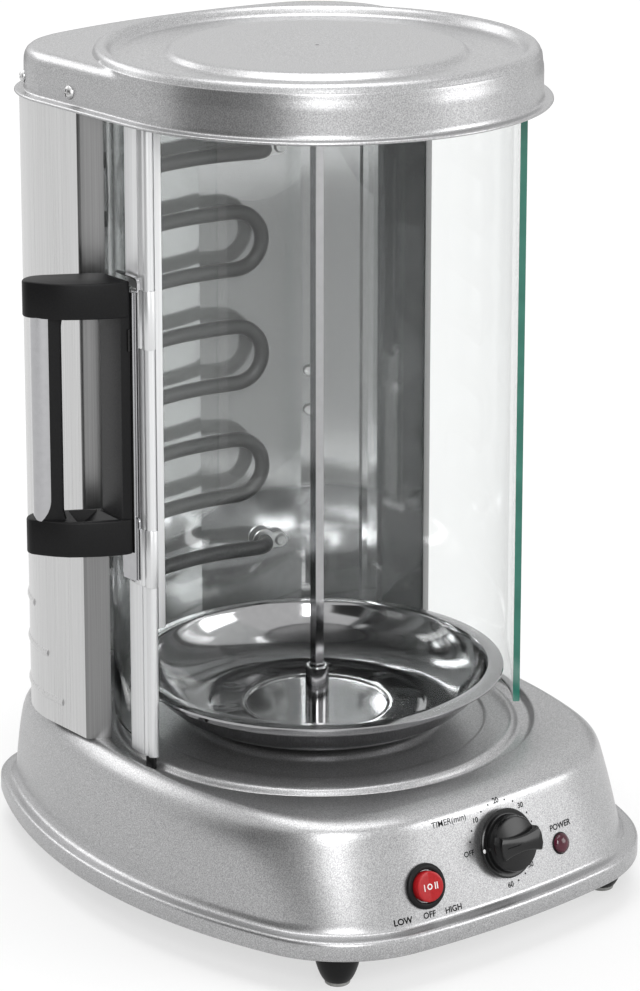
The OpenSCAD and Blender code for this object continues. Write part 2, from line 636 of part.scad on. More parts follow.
// local frame where a tube end turns back through the reflector: local Y points away from the spit
module at_end(k) {
    rotate([0, 0, -refl_a]) translate([16, heat_r, pass_z(k)]) children();
}
module tube_arc(z, a0, a1) {
    translate([0, 0, z]) rotate([0, 0, 90 - a1]) rotate_extrude(angle = a1 - a0) translate([heat_r, 0]) circle(r = tube_r, $fn = 32);
}
module u_bend(k, s) {
    rotate([0, 0, -s * pass_a]) translate([0, heat_r, pass_z(k) - pitch / 2]) rotate([90, 0, 0])
        rotate([0, 0, s > 0 ? -90 : 90]) rotate_extrude(angle = 180) translate([pitch / 2, 0]) circle(r = tube_r, $fn = 32);
}
module heater() color([0.3, 0.3, 0.31]) {
    for (k = [0:passes - 1]) tube_arc(pass_z(k), -pass_a, k == 0 || k == passes - 1 ? refl_a : pass_a);
}
module heater_bends() color([0.3, 0.3, 0.31]) {
    for (k = [0:2:passes - 2]) u_bend(k, -1);
    for (k = [1:2:passes - 3]) u_bend(k, 1);
    for (k = [0, passes - 1]) {
        at_end(k) translate([-16, 0, 0]) rotate([0, 90, 0]) cylinder(r = tube_r, h = 8, $fn = 32);
        at_end(k) translate([-8, 8, 0]) rotate([0, 0, -90]) rotate_extrude(angle = 90) translate([8, 0]) circle(r = tube_r, $fn = 32);
        at_end(k) translate([0, 8, 0]) rotate([-90, 0, 0]) cylinder(r = tube_r, h = 9, $fn = 32);
    }
}
plate_y = refl_d - heat_r - 4.6;
module heater_brackets() color([0.8, 0.8, 0.8]) {
    for (k = [0, passes - 1]) at_end(k) difference() {
        union() {
            translate([0, plate_y, 0]) rotate([-90, 0, 0]) cylinder(r = 6.5, h = 1.5);
            translate([9.4, plate_y, 0]) rotate([-90, 0, 0]) cylinder(r = 4.2, h = 1.5);
            translate([0, plate_y, -4.2]) cube([9.4, 1.5, 8.4]);
            translate([9.4, plate_y, 0]) rotate([-90, 0, 0]) cylinder(r = 3, h = 4.6);
        }
        translate([0, plate_y - 5, 0]) rotate([-90, 0, 0]) cylinder(r = tube_r + run, h = 20);
        translate([9.4, plate_y - 5, 0]) rotate([-90, 0, 0]) cylinder(r = 1.7, h = 20);
    }
}
module bracket_screws() color(steel) {
    for (k = [0, passes - 1]) at_end(k) translate([9.4, plate_y, 0]) rotate([90, 0, 0]) {
        difference() {
            cylinder(r1 = 3.4, r2 = 2.4, h = 1.8);
            translate([-2, -0.4, 1.2]) cube([4, 0.8, 2]);
            translate([-0.4, -2, 1.2]) cube([0.8, 4, 2]);
        }
        translate([0, 0, -8]) cylinder(r = 1.65, h = 9);
    }
}
module heater_terminals() color([0.9, 0.88, 0.84]) {
    for (k = [0, passes - 1]) at_end(k) {
        translate([0, 17, 0]) rotate([-90, 0, 0]) cylinder(r = 3.4, h = 3);
        translate([-0.4, 19, -2.4]) cube([0.8, 4, 4.8]);
    }
}

// Lid

lug_c = [-(lid_r - 50), lid_r + 21 - 360 + sqrt(310 * 310 - (lid_r - 50) * (lid_r - 50))];
module at_lid_screw(s, k) {
    mirror([s > 0 ? 1 : 0, 0, 0])
        if (k == 0) translate([-lid_r, 53, lid_z + 8]) rotate([0, -90, 0]) children();
        else translate([lug_c[0], lug_c[1], lid_z + 8]) rotate([0, 0, -30]) translate([-50, 0, 0]) rotate([0, -90, 0]) children();
}
module lid() color(silver) {
    z = lid_z;
    e = lid_z + lid_h;
    difference() {
        union() {
            loft([lifted(lid_ring(lid_flange - 0.8), z), lifted(lid_ring(lid_flange), z + 0.5),
                lifted(lid_ring(lid_flange), z + 1.2), lifted(lid_ring(lid_flange - 0.6), z + 1.7),
                lifted(lid_ring(0), z + 1.7 + eps), lifted(lid_ring(0), e - 6), lifted(lid_ring(-0.9), e - 3),
                lifted(lid_ring(-2.8), e - 0.9), lifted(lid_ring(-5.5), e)]);
            // raised ring round the top
            rotate_extrude() polygon([[lid_r - 11, e - 2], [lid_r - 10.4, e - 0.8], [lid_r - 8.4, e + 2.6], [lid_r - 6.6, e + 3.9],
                [lid_r - 4.4, e + 4.2], [lid_r - 2.4, e + 3.4], [lid_r - 0.9, e + 1], [lid_r - 0.4, e - 3], [lid_r - 4, e - 3]]);
            // centre disc
            translate([0, 0, e - 2]) cylinder(r1 = 75, r2 = 74.2, h = 1.2);
            rotate_extrude() polygon([[0, e - 2], [75, e - 2], [72.4, e + 1.6], [71, e + 2.4], [0, e + 2.4]]);
        }
        // recess between disc and ring
        translate([0, 0, e]) difference() {
            translate([0, 0, -0.9]) cylinder(r = lid_r - 10.4, h = 2);
            translate([0, 0, -1]) cylinder(r = 74.2, h = 4);
        }
        loft([lifted(lid_ring(-1.5), z - 1), lifted(lid_ring(-1.5), e - 7), lifted(lid_ring(-3), e - 4),
            lifted(lid_ring(-7), e - 3)]);
        for (s = [-1, 1]) for (k = [0, 1]) at_lid_screw(s, k) translate([0, 0, -6]) cylinder(r = 1.7, h = 12);
    }
}
ch_o = glass_r + 4.1;
ch_i = glass_i - 1.3;
module lid_liner() color(steel) {
    z = lid_z;
    difference() {
        union() {
            translate([0, 0, z + 1.7]) linear_extrude(1.2) difference() {
                lid_flat(-1.8);
                circle(r = glass_r + 2);
            }
            rotate_extrude() polygon([[9, z + 0.7], [ch_i, z + 0.7], [ch_i, z + 13.7], [ch_o, z + 13.7], [ch_o, z + 2.5],
                [ch_o + 1.2, z + 2.5], [ch_o + 1.2, z + 14.9], [ch_i - 1.2, z + 14.9], [ch_i - 1.2, z + 1.9], [9, z + 1.9]]);
            for (s = [-1, 1]) for (k = [0, 1]) at_lid_screw(s, k) translate([-5.4, -4, -10]) cube([10, 8, 8]);
        }
        for (s = [-1, 1]) for (k = [0, 1]) at_lid_screw(s, k) translate([0, 0, -12]) cylinder(r = 1.5, h = 13);
        rotate_extrude() polygon([[ch_i + eps, z - 1], [glass_r + 2, z - 1], [glass_r + 2, z + 2.9], [ch_o, z + 2.9], [ch_o, z + 13.7],
            [ch_i + eps, z + 13.7]]);
    }
}
module lid_screws() color(bright) {
    for (s = [-1, 1]) for (k = [0, 1]) at_lid_screw(s, k) {
        difference() {
            intersection() {
                translate([0, 0, -1.6]) sphere(r = 4);
                cylinder(r = 3.5, h = 4);
            }
            translate([-2.2, -0.45, 1.4]) cube([4.4, 0.9, 3]);
            translate([-0.45, -2.2, 1.4]) cube([0.9, 4.4, 3]);
        }
        translate([0, 0, -9]) cylinder(r = 1.45, h = 10);
    }
}

// Glass door

pane_end = -92;
pane_top = lid_z + 8;
// turn from an angle counted from the front towards the right to a plan angle
function plan(phi) = phi - 90;
module glass_pane() color([0.75, 0.85, 0.82, 0.25]) {
    rotate([0, 0, plan(pane_end - pane_deg)]) rotate_extrude(angle = pane_deg)
        translate([glass_i, plat_z - 0.5]) square([glass_t, pane_top - plat_z + 0.5]);
}
prof_o = glass_r + 2.7;
flat_y = 4;
module arc_strip(r0, r1, a0, a1) {
    intersection() {
        difference() {
            circle(r = r1);
            circle(r = r0);
        }
        polygon([[0, 0], 200 * [cos(a0), sin(a0)], 200 * [cos((a0 + a1) / 2), sin((a0 + a1) / 2)], 200 * [cos(a1), sin(a1)]]);
    }
}
prof_low = plat_z - 4.2;
prof_high = lid_z - 0.6;
flat_deg = (profile_w + 4) / glass_r * 57.3;
bead_c = [-(glass_r - 0.5), flat_y - 3.4];
module prof_bead() {
    translate(bead_c) circle(r = bead_r);
}
clip_hi = arm_top - 8.4;
clip_hi2 = clip_hi - 29.7;
clip_lo = handle_z + 8;
clip_lo2 = clip_lo - 29.7;
clip_out = prof_o + 0.5;
module door_profile() color([0.82, 0.83, 0.84]) {
    a0 = plan(-92.2 - flat_deg);
    a1 = plan(-91.4);
    translate([0, 0, prof_low]) linear_extrude(prof_high - prof_low) prof_bead();
    // flat on the outside of the pane, open where the handle sits
    for (zz = [[prof_low, clip_lo2], [clip_hi, prof_high]]) translate([0, 0, zz[0]]) linear_extrude(zz[1] - zz[0])
        arc_strip(glass_r + run, prof_o, a0 + 360, a1 + 360);
    translate([0, 0, prof_low]) linear_extrude(prof_high - prof_low)
        arc_strip(glass_r + run, glass_r + 1.2, plan(-94.6) + 360, a1 + 360);
    // lip on the inside of the pane
    translate([0, 0, prof_low]) linear_extrude(prof_high - prof_low)
        arc_strip(glass_i - 1.2, glass_i - run, plan(-95) + 360, plan(-90.6) + 360);
    translate([0, 0, prof_low]) linear_extrude(prof_high - prof_low)
        polygon([bead_c + [0.5, -0.8], [-(glass_i - 1.2), bead_c[1] - 0.8], [-(glass_i - 1.2), bead_c[1] + 1.2],
            bead_c + [0.5, 1.2]]);
    translate([0, 0, plat_z + 63]) linear_extrude(prof_high - plat_z - 63)
        polygon([bead_c + [1, -1.8], [-(glass_i - 2.8), bead_c[1] - 2.8], [-(glass_i - 3.3), bead_c[1] - 2.4],
            [-(glass_i - 3.1), bead_c[1] - 1.2], [-(glass_i - 1.2), bead_c[1] - 0.4], bead_c + [1, 0.4]]);
}
module profile_clips() color([0.84, 0.85, 0.86]) {
    a0 = plan(-92.2 - flat_deg * 0.62);
    a1 = plan(-91.6);
    for (zz = [[clip_lo2, clip_lo], [clip_hi2, clip_hi]]) translate([0, 0, zz[0] + 0.15]) linear_extrude(zz[1] - zz[0] - 0.3)
        difference() {
            union() {
                arc_strip(glass_r + run, prof_o + 0.4, a0 + 360, a1 + 360);
                translate([-clip_out, flat_y + 1]) square([2.4, profile_w * 0.6]);
            }
            arc_strip(glass_r - 1, glass_r + 1.2 + run, plan(-94.7) + 360, a1 + 361);
            translate(bead_c) circle(r = bead_r + run);
        }
}
module profile_foot() color(dark) {
    z = track_z;
    translate([0, 0, z + run]) linear_extrude(prof_low - z - run)
        arc_strip(plat_r + 4.1, prof_o - 0.4, plan(-93) + 360, plan(-88.6) + 360);
}
module door_carrier() color(dark) {
    z = lid_z + 3.6;
    rotate([0, 0, plan(pane_end - pane_deg)]) rotate_extrude(angle = pane_deg) difference() {
        translate([ch_i + 0.5, z]) square([ch_o - ch_i - 1, 9]);
        translate([glass_i, z - 1]) square([glass_t, pane_top - z + 1]);
    }
}
module carrier_glides() color([0.9, 0.9, 0.88]) {
    z = lid_z + 2.9 + run;
    for (i = [0:6]) rotate([0, 0, plan(pane_end - pane_deg) + 4 + i * (pane_deg - 14) / 6]) rotate_extrude(angle = 6)
        translate([glass_r + 2.4, z]) square([1, 0.7 - run]);
}

// Handle

post_in = clip_out + 3.2;
hy = flat_y + 2.4;
reach_k = (handle_reach - post_in) / 39.7;
depth_k = handle_w / 39;
// place in plan, counted outward from the post and back from its front
function handle_at(q) = [-(post_in + q[0] * reach_k), hy + q[1] * depth_k];
arm_pts = [[0, 0], [3.5, 0.1], [9.1, 2.4], [15.5, 5.6], [22.1, 9.8], [28.3, 14.4], [33.1, 19.8], [36.7, 25.2], [39, 29.2],
    [39.7, 31.7], [39.3, 34.2], [37.7, 36.4], [34.7, 38.4], [31.5, 39], [28.6, 38.6], [25.2, 37.2], [17.1, 32.6], [9.6, 28.3],
    [3.6, 24.8], [0, 22.7]];
post_pts = [[0, 0], [4.7, 1.9], [2.6, 22], [0, 22]];
pocket_pts = [[5.8, 3.4], [23.6, 13.4], [17, 30.4], [4.6, 22.4]];
bar_c = handle_at([31.5, 28.9]);
// turn of the grip, its black side towards the post
bar_turn = -32.7;
module handle_flat(pts) {
    polygon([for (q = pts) handle_at(q)]);
}
module handle_frame() color([0.14, 0.14, 0.145]) {
    difference() {
        union() {
            for (z = [handle_z, arm_top - arm_h]) translate([0, 0, z]) linear_extrude(arm_h) handle_flat(arm_pts);
            translate([0, 0, handle_z + 1]) linear_extrude(handle_h - 2) handle_flat(post_pts);
        }
        // pocket in the lower arm
        translate([0, 0, handle_z + arm_h - 5.5]) linear_extrude(7) handle_flat(pocket_pts);
        for (z = [handle_z + 12, arm_top - 12]) translate([-post_in + 1, hy + 4, z]) rotate([0, -90, 0]) cylinder(r = 1.7, h = 6.4);
        for (z = [handle_z + arm_h, arm_top - arm_h]) translate([bar_c[0], bar_c[1], z - 2]) cylinder(r = grip_r, h = 4);
    }
}
module grip_bar() color([0.9, 0.9, 0.9]) {
    translate([bar_c[0], bar_c[1], handle_z + arm_h - 2]) rotate([0, 0, bar_turn]) difference() {
        cylinder(r = grip_r, h = handle_h - 2 * arm_h + 4);
        translate([0, 0, -1]) cylinder(r = grip_r - 1, h = handle_h - 2 * arm_h + 6);
        translate([2.4, -20, -1]) cube([40, 40, handle_h]);
    }
}
module grip_backing() color(black) {
    n = handle_h - 2 * arm_h;
    translate([bar_c[0], bar_c[1], handle_z + arm_h]) rotate([0, 0, bar_turn]) {
        translate([0, 0, -2]) cylinder(r = grip_r - 1, h = n + 4);
        linear_extrude(n) polygon([[2.4, -grip_r + 0.6], [grip_r + 1.4, -grip_r + 0.6], [grip_r + 2.6, -grip_r + 1.8],
            [grip_r + 2.6, grip_r - 1.8], [grip_r + 1.4, grip_r - 0.6], [2.4, grip_r - 0.6]]);
    }
}
module handle_bracket() color([0.8, 0.8, 0.8]) {
    difference() {
        bar_box(-post_in, -clip_out, flat_y, hy + 8.6, clip_lo2 + 3, clip_hi - 1);
        for (z = [handle_z + 12, arm_top - 12]) translate([-post_in + 4, hy + 4, z]) rotate([0, -90, 0]) cylinder(r = 1.7, h = 10);
    }
}
module handle_screws() color(steel) {
    for (z = [handle_z + 12, arm_top - 12]) translate([-clip_out, hy + 4, z]) rotate([0, -90, 0]) cylinder(r = 1.65, h = 8);
}

base_shell();
base_plate();
base_screws();
feet();
foot_pads();
motor_plate();
motor_screws();
gear_motor();
drive_bush();
drive_coupling();
drip_pan();
spit_socket();
spit();
upper_bearing();
timer_body();
timer_nut();
timer_shaft();
timer_knob();
knob_mark();
switch_body();
rocker_cap();
lamp_lens();
lamp_body();
terminal_block();
cord_gland();
thermal_cutout();
rear_housing();
housing_screws();
reflector();
reflector_screws();
heater();
heater_bends();
heater_brackets();
bracket_screws();
heater_terminals();
lid();
lid_liner();
lid_screws();
glass_pane();
door_profile();
door_carrier();
carrier_glides();
profile_foot();
profile_clips();
handle_bracket();
handle_frame();
grip_bar();
grip_backing();
handle_screws();
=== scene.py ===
# Vertical kebab grill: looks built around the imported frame.
# Lengths are in millimetres until a mesh is made, and in metres for the camera, the stage and the lamps.
from math import asin, atan, atan2, cos, degrees, hypot, pi, radians, sin, sqrt, tan

import bmesh
import bpy
import numpy as np
from mathutils import Matrix, Vector
from mathutils.bvhtree import BVHTree


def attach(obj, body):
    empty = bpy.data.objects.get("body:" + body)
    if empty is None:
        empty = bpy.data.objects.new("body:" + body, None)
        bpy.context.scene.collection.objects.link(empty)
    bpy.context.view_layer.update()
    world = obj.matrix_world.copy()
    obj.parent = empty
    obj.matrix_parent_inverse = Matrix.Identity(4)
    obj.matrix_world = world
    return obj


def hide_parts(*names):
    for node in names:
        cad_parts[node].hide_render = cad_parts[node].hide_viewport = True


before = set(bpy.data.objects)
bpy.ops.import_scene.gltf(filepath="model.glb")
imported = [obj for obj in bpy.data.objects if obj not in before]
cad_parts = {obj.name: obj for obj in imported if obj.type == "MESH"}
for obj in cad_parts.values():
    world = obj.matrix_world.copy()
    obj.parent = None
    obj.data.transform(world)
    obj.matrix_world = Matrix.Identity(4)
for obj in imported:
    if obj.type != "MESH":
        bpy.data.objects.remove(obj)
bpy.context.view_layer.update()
MM = 0.001

# Sizes shared with the part's source
TOP_Z = 79.3
TRACK_Z = 75.0
PLAT_Z = 85.0
LID_Z = 402.5
GLASS_R = 104.5
GLASS_T = 3.5
GLASS_I = GLASS_R - GLASS_T
LID_R = 112.0
PAN_Z = 82.8
HEAT_R = 112.5
PROF_O = GLASS_R + 2.7


# Materials

def principled(name, color, rough=0.5, metal=0.0, **more):
    m = bpy.data.materials.new(name)
    m.use_nodes = True
    b = m.node_tree.nodes["Principled BSDF"]
    b.inputs["Base Color"].default_value = (*color, 1)
    b.inputs["Roughness"].default_value = rough
    b.inputs["Metallic"].default_value = metal
    for k, v in more.items():
        b.inputs[k.replace("_", " ")].default_value = v
    return m


def node(m, kind, **sockets):
    n = m.node_tree.nodes.new(kind)
    for k, v in sockets.items():
        n.inputs[k.replace("_", " ")].default_value = v
    return n


def link(m, a, b):
    m.node_tree.links.new(a, b)


def coords(m, scale=(1, 1, 1)):
    t = node(m, "ShaderNodeTexCoord")
    mp = node(m, "ShaderNodeMapping")
    mp.inputs["Scale"].default_value = scale
    link(m, t.outputs["Object"], mp.inputs["Vector"])
    return mp.outputs["Vector"]


def noise(m, vec, scale, detail=2.0, rough=0.5):
    n = node(m, "ShaderNodeTexNoise", Scale=scale, Detail=detail, Roughness=rough)
    link(m, vec, n.inputs["Vector"])
    return n.outputs["Fac"]


def ramp(m, fac, stops):
    r = node(m, "ShaderNodeValToRGB")
    els = r.color_ramp.elements
    while len(els) < len(stops):
        els.new(0.5)
    for e, (p, c) in zip(els, stops):
        e.position = p
        e.color = (*c, 1)
    link(m, fac, r.inputs["Fac"])
    return r.outputs["Color"]


def grey(v):
    return (v, v, v)


def span(m, fac, low, high):
    r = node(m, "ShaderNodeMapRange")
    r.inputs["To Min"].default_value = low
    r.inputs["To Max"].default_value = high
    link(m, fac, r.inputs["Value"])
    return r.outputs["Result"]


def bump(m, height, strength, distance):
    b = node(m, "ShaderNodeBump", Strength=strength, Distance=distance)
    link(m, height, b.inputs["Height"])
    link(m, b.outputs["Normal"], m.node_tree.nodes["Principled BSDF"].inputs["Normal"])


def socket(m, name):
    return m.node_tree.nodes["Principled BSDF"].inputs[name]


def silver_paint(name, low, high):
    m = principled(name, (0.6, 0.6, 0.61), 0.33, 0.8)
    v = coords(m)
    flake = noise(m, v, 1900, 1.0, 0.6)
    cloud = noise(m, v, 9, 2.0)
    link(m, ramp(m, flake, [(0.36, low), (0.52, tuple((a + b) / 2 for a, b in zip(low, high))),
                            (0.66, high)]),
         socket(m, "Base Color"))
    link(m, span(m, cloud, 0.3, 0.36), socket(m, "Roughness"))
    bump(m, flake, 0.05, 0.0002)
    return m


def brushed(name, low, high, rough, along, strength=0.05, metal=1.0):
    m = principled(name, high, rough, metal)
    v = coords(m, along)
    lines = noise(m, v, 1.0, 3.0, 0.6)
    link(m, ramp(m, lines, [(0.3, low), (0.7, high)]), socket(m, "Base Color"))
    link(m, span(m, lines, rough - 0.06, rough + 0.08), socket(m, "Roughness"))
    bump(m, lines, strength, 0.0002)
    return m


def polished(name, color, rough, wave=0.0, scale=18):
    m = principled(name, color, rough, 1.0)
    v = coords(m)
    haze = noise(m, v, 40, 3.0)
    link(m, span(m, haze, max(rough - 0.03, 0.01), rough + 0.04), socket(m, "Roughness"))
    low = tuple(c * 0.94 for c in color)
    link(m, ramp(m, noise(m, v, 260, 2.0), [(0.3, low), (0.7, color)]), socket(m, "Base Color"))
    if wave:
        bump(m, noise(m, v, scale, 1.0), wave, 0.002)
    return m


def plastic(name, low, high, rough, grain, strength, **more):
    m = principled(name, high, rough, 0.0, **more)
    v = coords(m)
    g = noise(m, v, grain, 2.0)
    link(m, ramp(m, g, [(0.3, low), (0.7, high)]), socket(m, "Base Color"))
    link(m, span(m, noise(m, v, 35, 2.0), rough - 0.04, rough + 0.05), socket(m, "Roughness"))
    bump(m, g, strength, 0.0002)
    return m


def glass_material():
    m = principled("clear_glass", (0.94, 0.955, 0.95), 0.01, 0.0, Transmission_Weight=1.0, IOR=1.45)
    t = m.node_tree
    out = t.nodes["Material Output"]
    mix = node(m, "ShaderNodeMixShader")
    clear = node(m, "ShaderNodeBsdfTransparent")
    clear.inputs["Color"].default_value = (0.95, 0.97, 0.96, 1)
    path = node(m, "ShaderNodeLightPath")
    link(m, path.outputs["Is Shadow Ray"], mix.inputs[0])
    link(m, t.nodes["Principled BSDF"].outputs[0], mix.inputs[1])
    link(m, clear.outputs[0], mix.inputs[2])
    link(m, mix.outputs[0], out.inputs["Surface"])
    v = coords(m)
    link(m, span(m, noise(m, v, 12, 2.0), 0.0, 0.02), socket(m, "Roughness"))
    return m


M = {}
M["paint"] = silver_paint("silver_paint", (0.3, 0.3, 0.304), (0.52, 0.52, 0.525))
M["wall"] = brushed("brushed_wall", (0.48, 0.48, 0.48), (0.58, 0.58, 0.58), 0.28, (1500, 1500, 8))
# a darker copy of the wall's brushed steel for the folded edges: painted shade, standing for the dark
# reflection that the facet shows
M["fold"] = brushed("brushed_fold_painted_shade", (0.18, 0.18, 0.18), (0.23, 0.23, 0.23), 0.32, (1500, 1500, 8))
M["alu"] = brushed("anodised_aluminium", (0.62, 0.625, 0.63), (0.74, 0.745, 0.75), 0.36, (700, 700, 4),
                   0.03, 0.8)
M["chrome"] = polished("bright_chrome", (0.4, 0.4, 0.41), 0.07)
M["pan"] = polished("polished_pan", (0.37, 0.37, 0.375), 0.1)
M["mirror"] = polished("mirror_sheet", (0.46, 0.46, 0.465), 0.1, 0.25, 14)
socket(M["mirror"], "Metallic").default_value = 0.78
M["steel"] = brushed("zinc_steel", (0.5, 0.5, 0.5), (0.66, 0.66, 0.66), 0.34, (120, 120, 120), 0.02)
M["heater"] = plastic("heater_sheath", (0.018, 0.018, 0.0185), (0.034, 0.034, 0.035), 0.42, 700, 0.05,
                      Specular_IOR_Level=0.3)
M["black"] = plastic("satin_black", (0.006, 0.006, 0.0063), (0.01, 0.01, 0.0105), 0.42, 1600, 0.06,
                     Specular_IOR_Level=0.15)
M["post"] = plastic("grained_black", (0.016, 0.016, 0.0165), (0.034, 0.034, 0.035), 0.5, 1500, 0.12,
                    Specular_IOR_Level=0.3)
M["gloss"] = plastic("gloss_black", (0.004, 0.004, 0.0042), (0.007, 0.007, 0.0073), 0.24, 900, 0.02,
                     Specular_IOR_Level=0.3)
M["red"] = plastic("rocker_red", (0.36, 0.01, 0.013), (0.44, 0.014, 0.018), 0.3, 900, 0.01,
                   Specular_IOR_Level=0.3)
M["lamp"] = plastic("lamp_lens_red", (0.04, 0.001, 0.008), (0.09, 0.003, 0.02), 0.12, 220, 0.05)
M["white"] = plastic("white_print", (0.8, 0.8, 0.8), (0.86, 0.86, 0.86), 0.5, 900, 0.01)
M["ink"] = plastic("dark_print", (0.006, 0.006, 0.0065), (0.01, 0.01, 0.0105), 0.5, 900, 0.01,
                   Specular_IOR_Level=0.1)
M["pad"] = plastic("grey_pad", (0.3, 0.3, 0.29), (0.4, 0.4, 0.39), 0.7, 500, 0.1)
M["pale"] = plastic("pale_insulator", (0.7, 0.68, 0.62), (0.8, 0.78, 0.72), 0.5, 400, 0.05)
M["bronze"] = brushed("bearing_bronze", (0.5, 0.36, 0.18), (0.62, 0.45, 0.22), 0.35, (200, 200, 200),
                      0.02)
M["glass"] = glass_material()
M["edge"] = plastic("green_glass_edge", (0.012, 0.14, 0.1), (0.03, 0.2, 0.145), 0.15, 60, 0.02)


# Mesh helpers

def shade(ob, angle=32):
    me = ob.data
    me.polygons.foreach_set("use_smooth", [True] * len(me.polygons))
    me.set_sharp_from_angle(angle=radians(angle))


def make(name, verts, faces, mat, body, nodes=(), smooth=32, bev=0.0, seg=2, bev_angle=35, fix=True):
    me = bpy.data.meshes.new(name)
    me.from_pydata([(x * MM, y * MM, z * MM) for x, y, z in verts], [], [list(f) for f in faces])
    bm = bmesh.new()
    bm.from_mesh(me)
    bmesh.ops.remove_doubles(bm, verts=bm.verts, dist=1e-7)
    if fix:
        bmesh.ops.recalc_face_normals(bm, faces=bm.faces)
    if bev:
        sharp = radians(bev_angle)
        edges = [e for e in bm.edges if len(e.link_faces) == 2 and e.calc_face_angle() > sharp]
        bmesh.ops.bevel(bm, geom=edges, offset=bev * MM, segments=seg, profile=0.5, affect="EDGES",
                        clamp_overlap=True)
    bm.to_mesh(me)
    bm.free()
    ob = bpy.data.objects.new(name, me)
    bpy.context.scene.collection.objects.link(ob)
    me.materials.append(mat)
    shade(ob, smooth)
    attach(ob, body)
    if nodes:
        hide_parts(*nodes)
    return ob


def shell(rings, close_loop=False):
    """Faces and points through rings that have the same number of points."""
    n = len(rings[0])
    verts = [tuple(p) for r in rings for p in r]
    faces = []
    m = len(rings)
    for j in range(m if close_loop else m - 1):
        k = (j + 1) % m
        for i in range(n):
            i2 = (i + 1) % n
            faces.append((j * n + i, j * n + i2, k * n + i2, k * n + i))
    if not close_loop:
        faces.append(tuple(range(n - 1, -1, -1)))
        faces.append(tuple((m - 1) * n + i for i in range(n)))
    return verts, faces


def lathe(profile, n=96, loop=True, at=(0, 0, 0)):
    """A turned form. The profile of (r, z) is a closed loop, or else it starts and ends on the axis."""
    rings = []
    for r, z in profile:
        r = max(r, 0.0005)
        rings.append([(at[0] + r * cos(2 * pi * i / n), at[1] + r * sin(2 * pi * i / n), at[2] + z)
                      for i in range(n)])
    return shell(rings, close_loop=loop)


def prism(outline, z0, z1):
    rings = [[(x, y, z0) for x, y in outline], [(x, y, z1) for x, y in outline]]
    return shell(rings)


def block(x0, x1, y0, y1, z0, z1):
    return prism([(x0, y0), (x1, y0), (x1, y1), (x0, y1)], z0, z1)


def tube(path, r, n=20):
    """A round tube along a path of points."""
    pts = [Vector(p) for p in path]
    rings = []
    t0 = (pts[1] - pts[0]).normalized()
    ref = Vector((0, 0, 1)) if abs(t0.z) < 0.9 else Vector((1, 0, 0))
    u = (ref - t0 * ref.dot(t0)).normalized()
    for i, p in enumerate(pts):
        a = pts[max(i - 1, 0)]
        b = pts[min(i + 1, len(pts) - 1)]
        t = (b - a).normalized()
        u = (u - t * u.dot(t)).normalized()
        w = t.cross(u)
        rings.append([tuple(p + r * (cos(2 * pi * k / n) * u + sin(2 * pi * k / n) * w))
                      for k in range(n)])
    return shell(rings)


def join(*parts):
    verts = []
    faces = []
    for v, f in parts:
        k = len(verts)
        verts += list(v)
        faces += [tuple(i + k for i in q) for q in f]
    return verts, faces


def moved(part, mat):
    """The same form, placed by a matrix."""
    v, f = part
    return [tuple(mat @ Vector(p)) for p in v], f


def arc(c, r, a0, a1, n):
    """Points of an arc without its last one."""
    out = []
    for i in range(n):
        a = a0 + (a1 - a0) * i / n
        out.append((c[0] + r * cos(a), c[1] + r * sin(a)))
    return out


# Outlines of base and lid, as in the part's source

PANEL_R = 488.0
BASE_SIDE_R = 300.0
BASE_BACK_R = 600.0
BASE_CORNER = 68.0
BASE_REAR_CORNER = 45.0
LID_CORNER = 50.0
LID_BACK_R = 360.0
LID_BULGE = 21.0


def touch(p0, r0, p1, r1, s):
    """The point at r0 from p0 and at r1 from p1, on side s."""
    dx, dy = p1[0] - p0[0], p1[1] - p0[1]
    d = hypot(dx, dy)
    a = (r0 * r0 - r1 * r1 + d * d) / (2 * d)
    h = sqrt(r0 * r0 - a * a)
    ex, ey = dx / d, dy / d
    return (p0[0] + a * ex + s * h * ey, p0[1] + a * ey - s * h * ex)


def base_outline(w, yf, yb, rc=BASE_CORNER):
    """The base in plan: half width, front, back and front corner radius."""
    rs, rf, rb, rk = BASE_SIDE_R, PANEL_R, BASE_BACK_R, BASE_REAR_CORNER
    cs, cf, cb = (w - rs, 0.0), (0.0, rf - yf), (0.0, yb - rb)
    c1 = touch(cs, rs - rc, cf, rf - rc, 1)
    c2 = touch(cs, rs - rk, cb, rb - rk, -1)
    af = atan2(c1[1] - cf[1], c1[0] - cf[0])
    a1 = atan2(c1[1] - cs[1], c1[0] - cs[0])
    a2 = atan2(c2[1] - cs[1], c2[0] - cs[0])
    ab = atan2(c2[1] - cb[1], c2[0] - cb[0])
    half = (arc(cf, rf, -pi / 2, af, 30) + arc(c1, rc, af, a1, 40) + arc(cs, rs, a1, a2, 60)
            + arc(c2, rk, a2, ab, 40) + arc(cb, rb, ab, pi / 2, 30) + [(0.0, yb)])
    return half + [(-x, y) for x, y in half[-2:0:-1]]


def lid_outline(d):
    """The lid in plan, grown by d: a half circle in front and a bulged back."""
    xc = LID_R - LID_CORNER
    yb = LID_R + LID_BULGE - LID_BACK_R
    yc = yb + sqrt((LID_BACK_R - LID_CORNER) ** 2 - xc ** 2)
    ak = atan2(yc - yb, xc)
    half = (arc((0, 0), LID_R + d, -pi / 2, 0, 60) + [(LID_R + d, yc * i / 12) for i in range(12)]
            + arc((xc, yc), LID_CORNER + d, 0, ak, 40)
            + arc((0, yb), LID_BACK_R + d, ak, pi / 2, 30) + [(0.0, yb + LID_BACK_R + d)])
    return half + [(-x, y) for x, y in half[-2:0:-1]]


def polar(outline, n):
    """The outline's radius at n even angles round the spit."""
    a = np.unwrap([atan2(y, x) for x, y in outline])
    r = np.array([hypot(x, y) for x, y in outline])
    a = np.concatenate([a - 2 * pi, a, a + 2 * pi])
    r = np.concatenate([r, r, r])
    return np.interp([2 * pi * i / n - pi / 2 for i in range(n)], a, r)


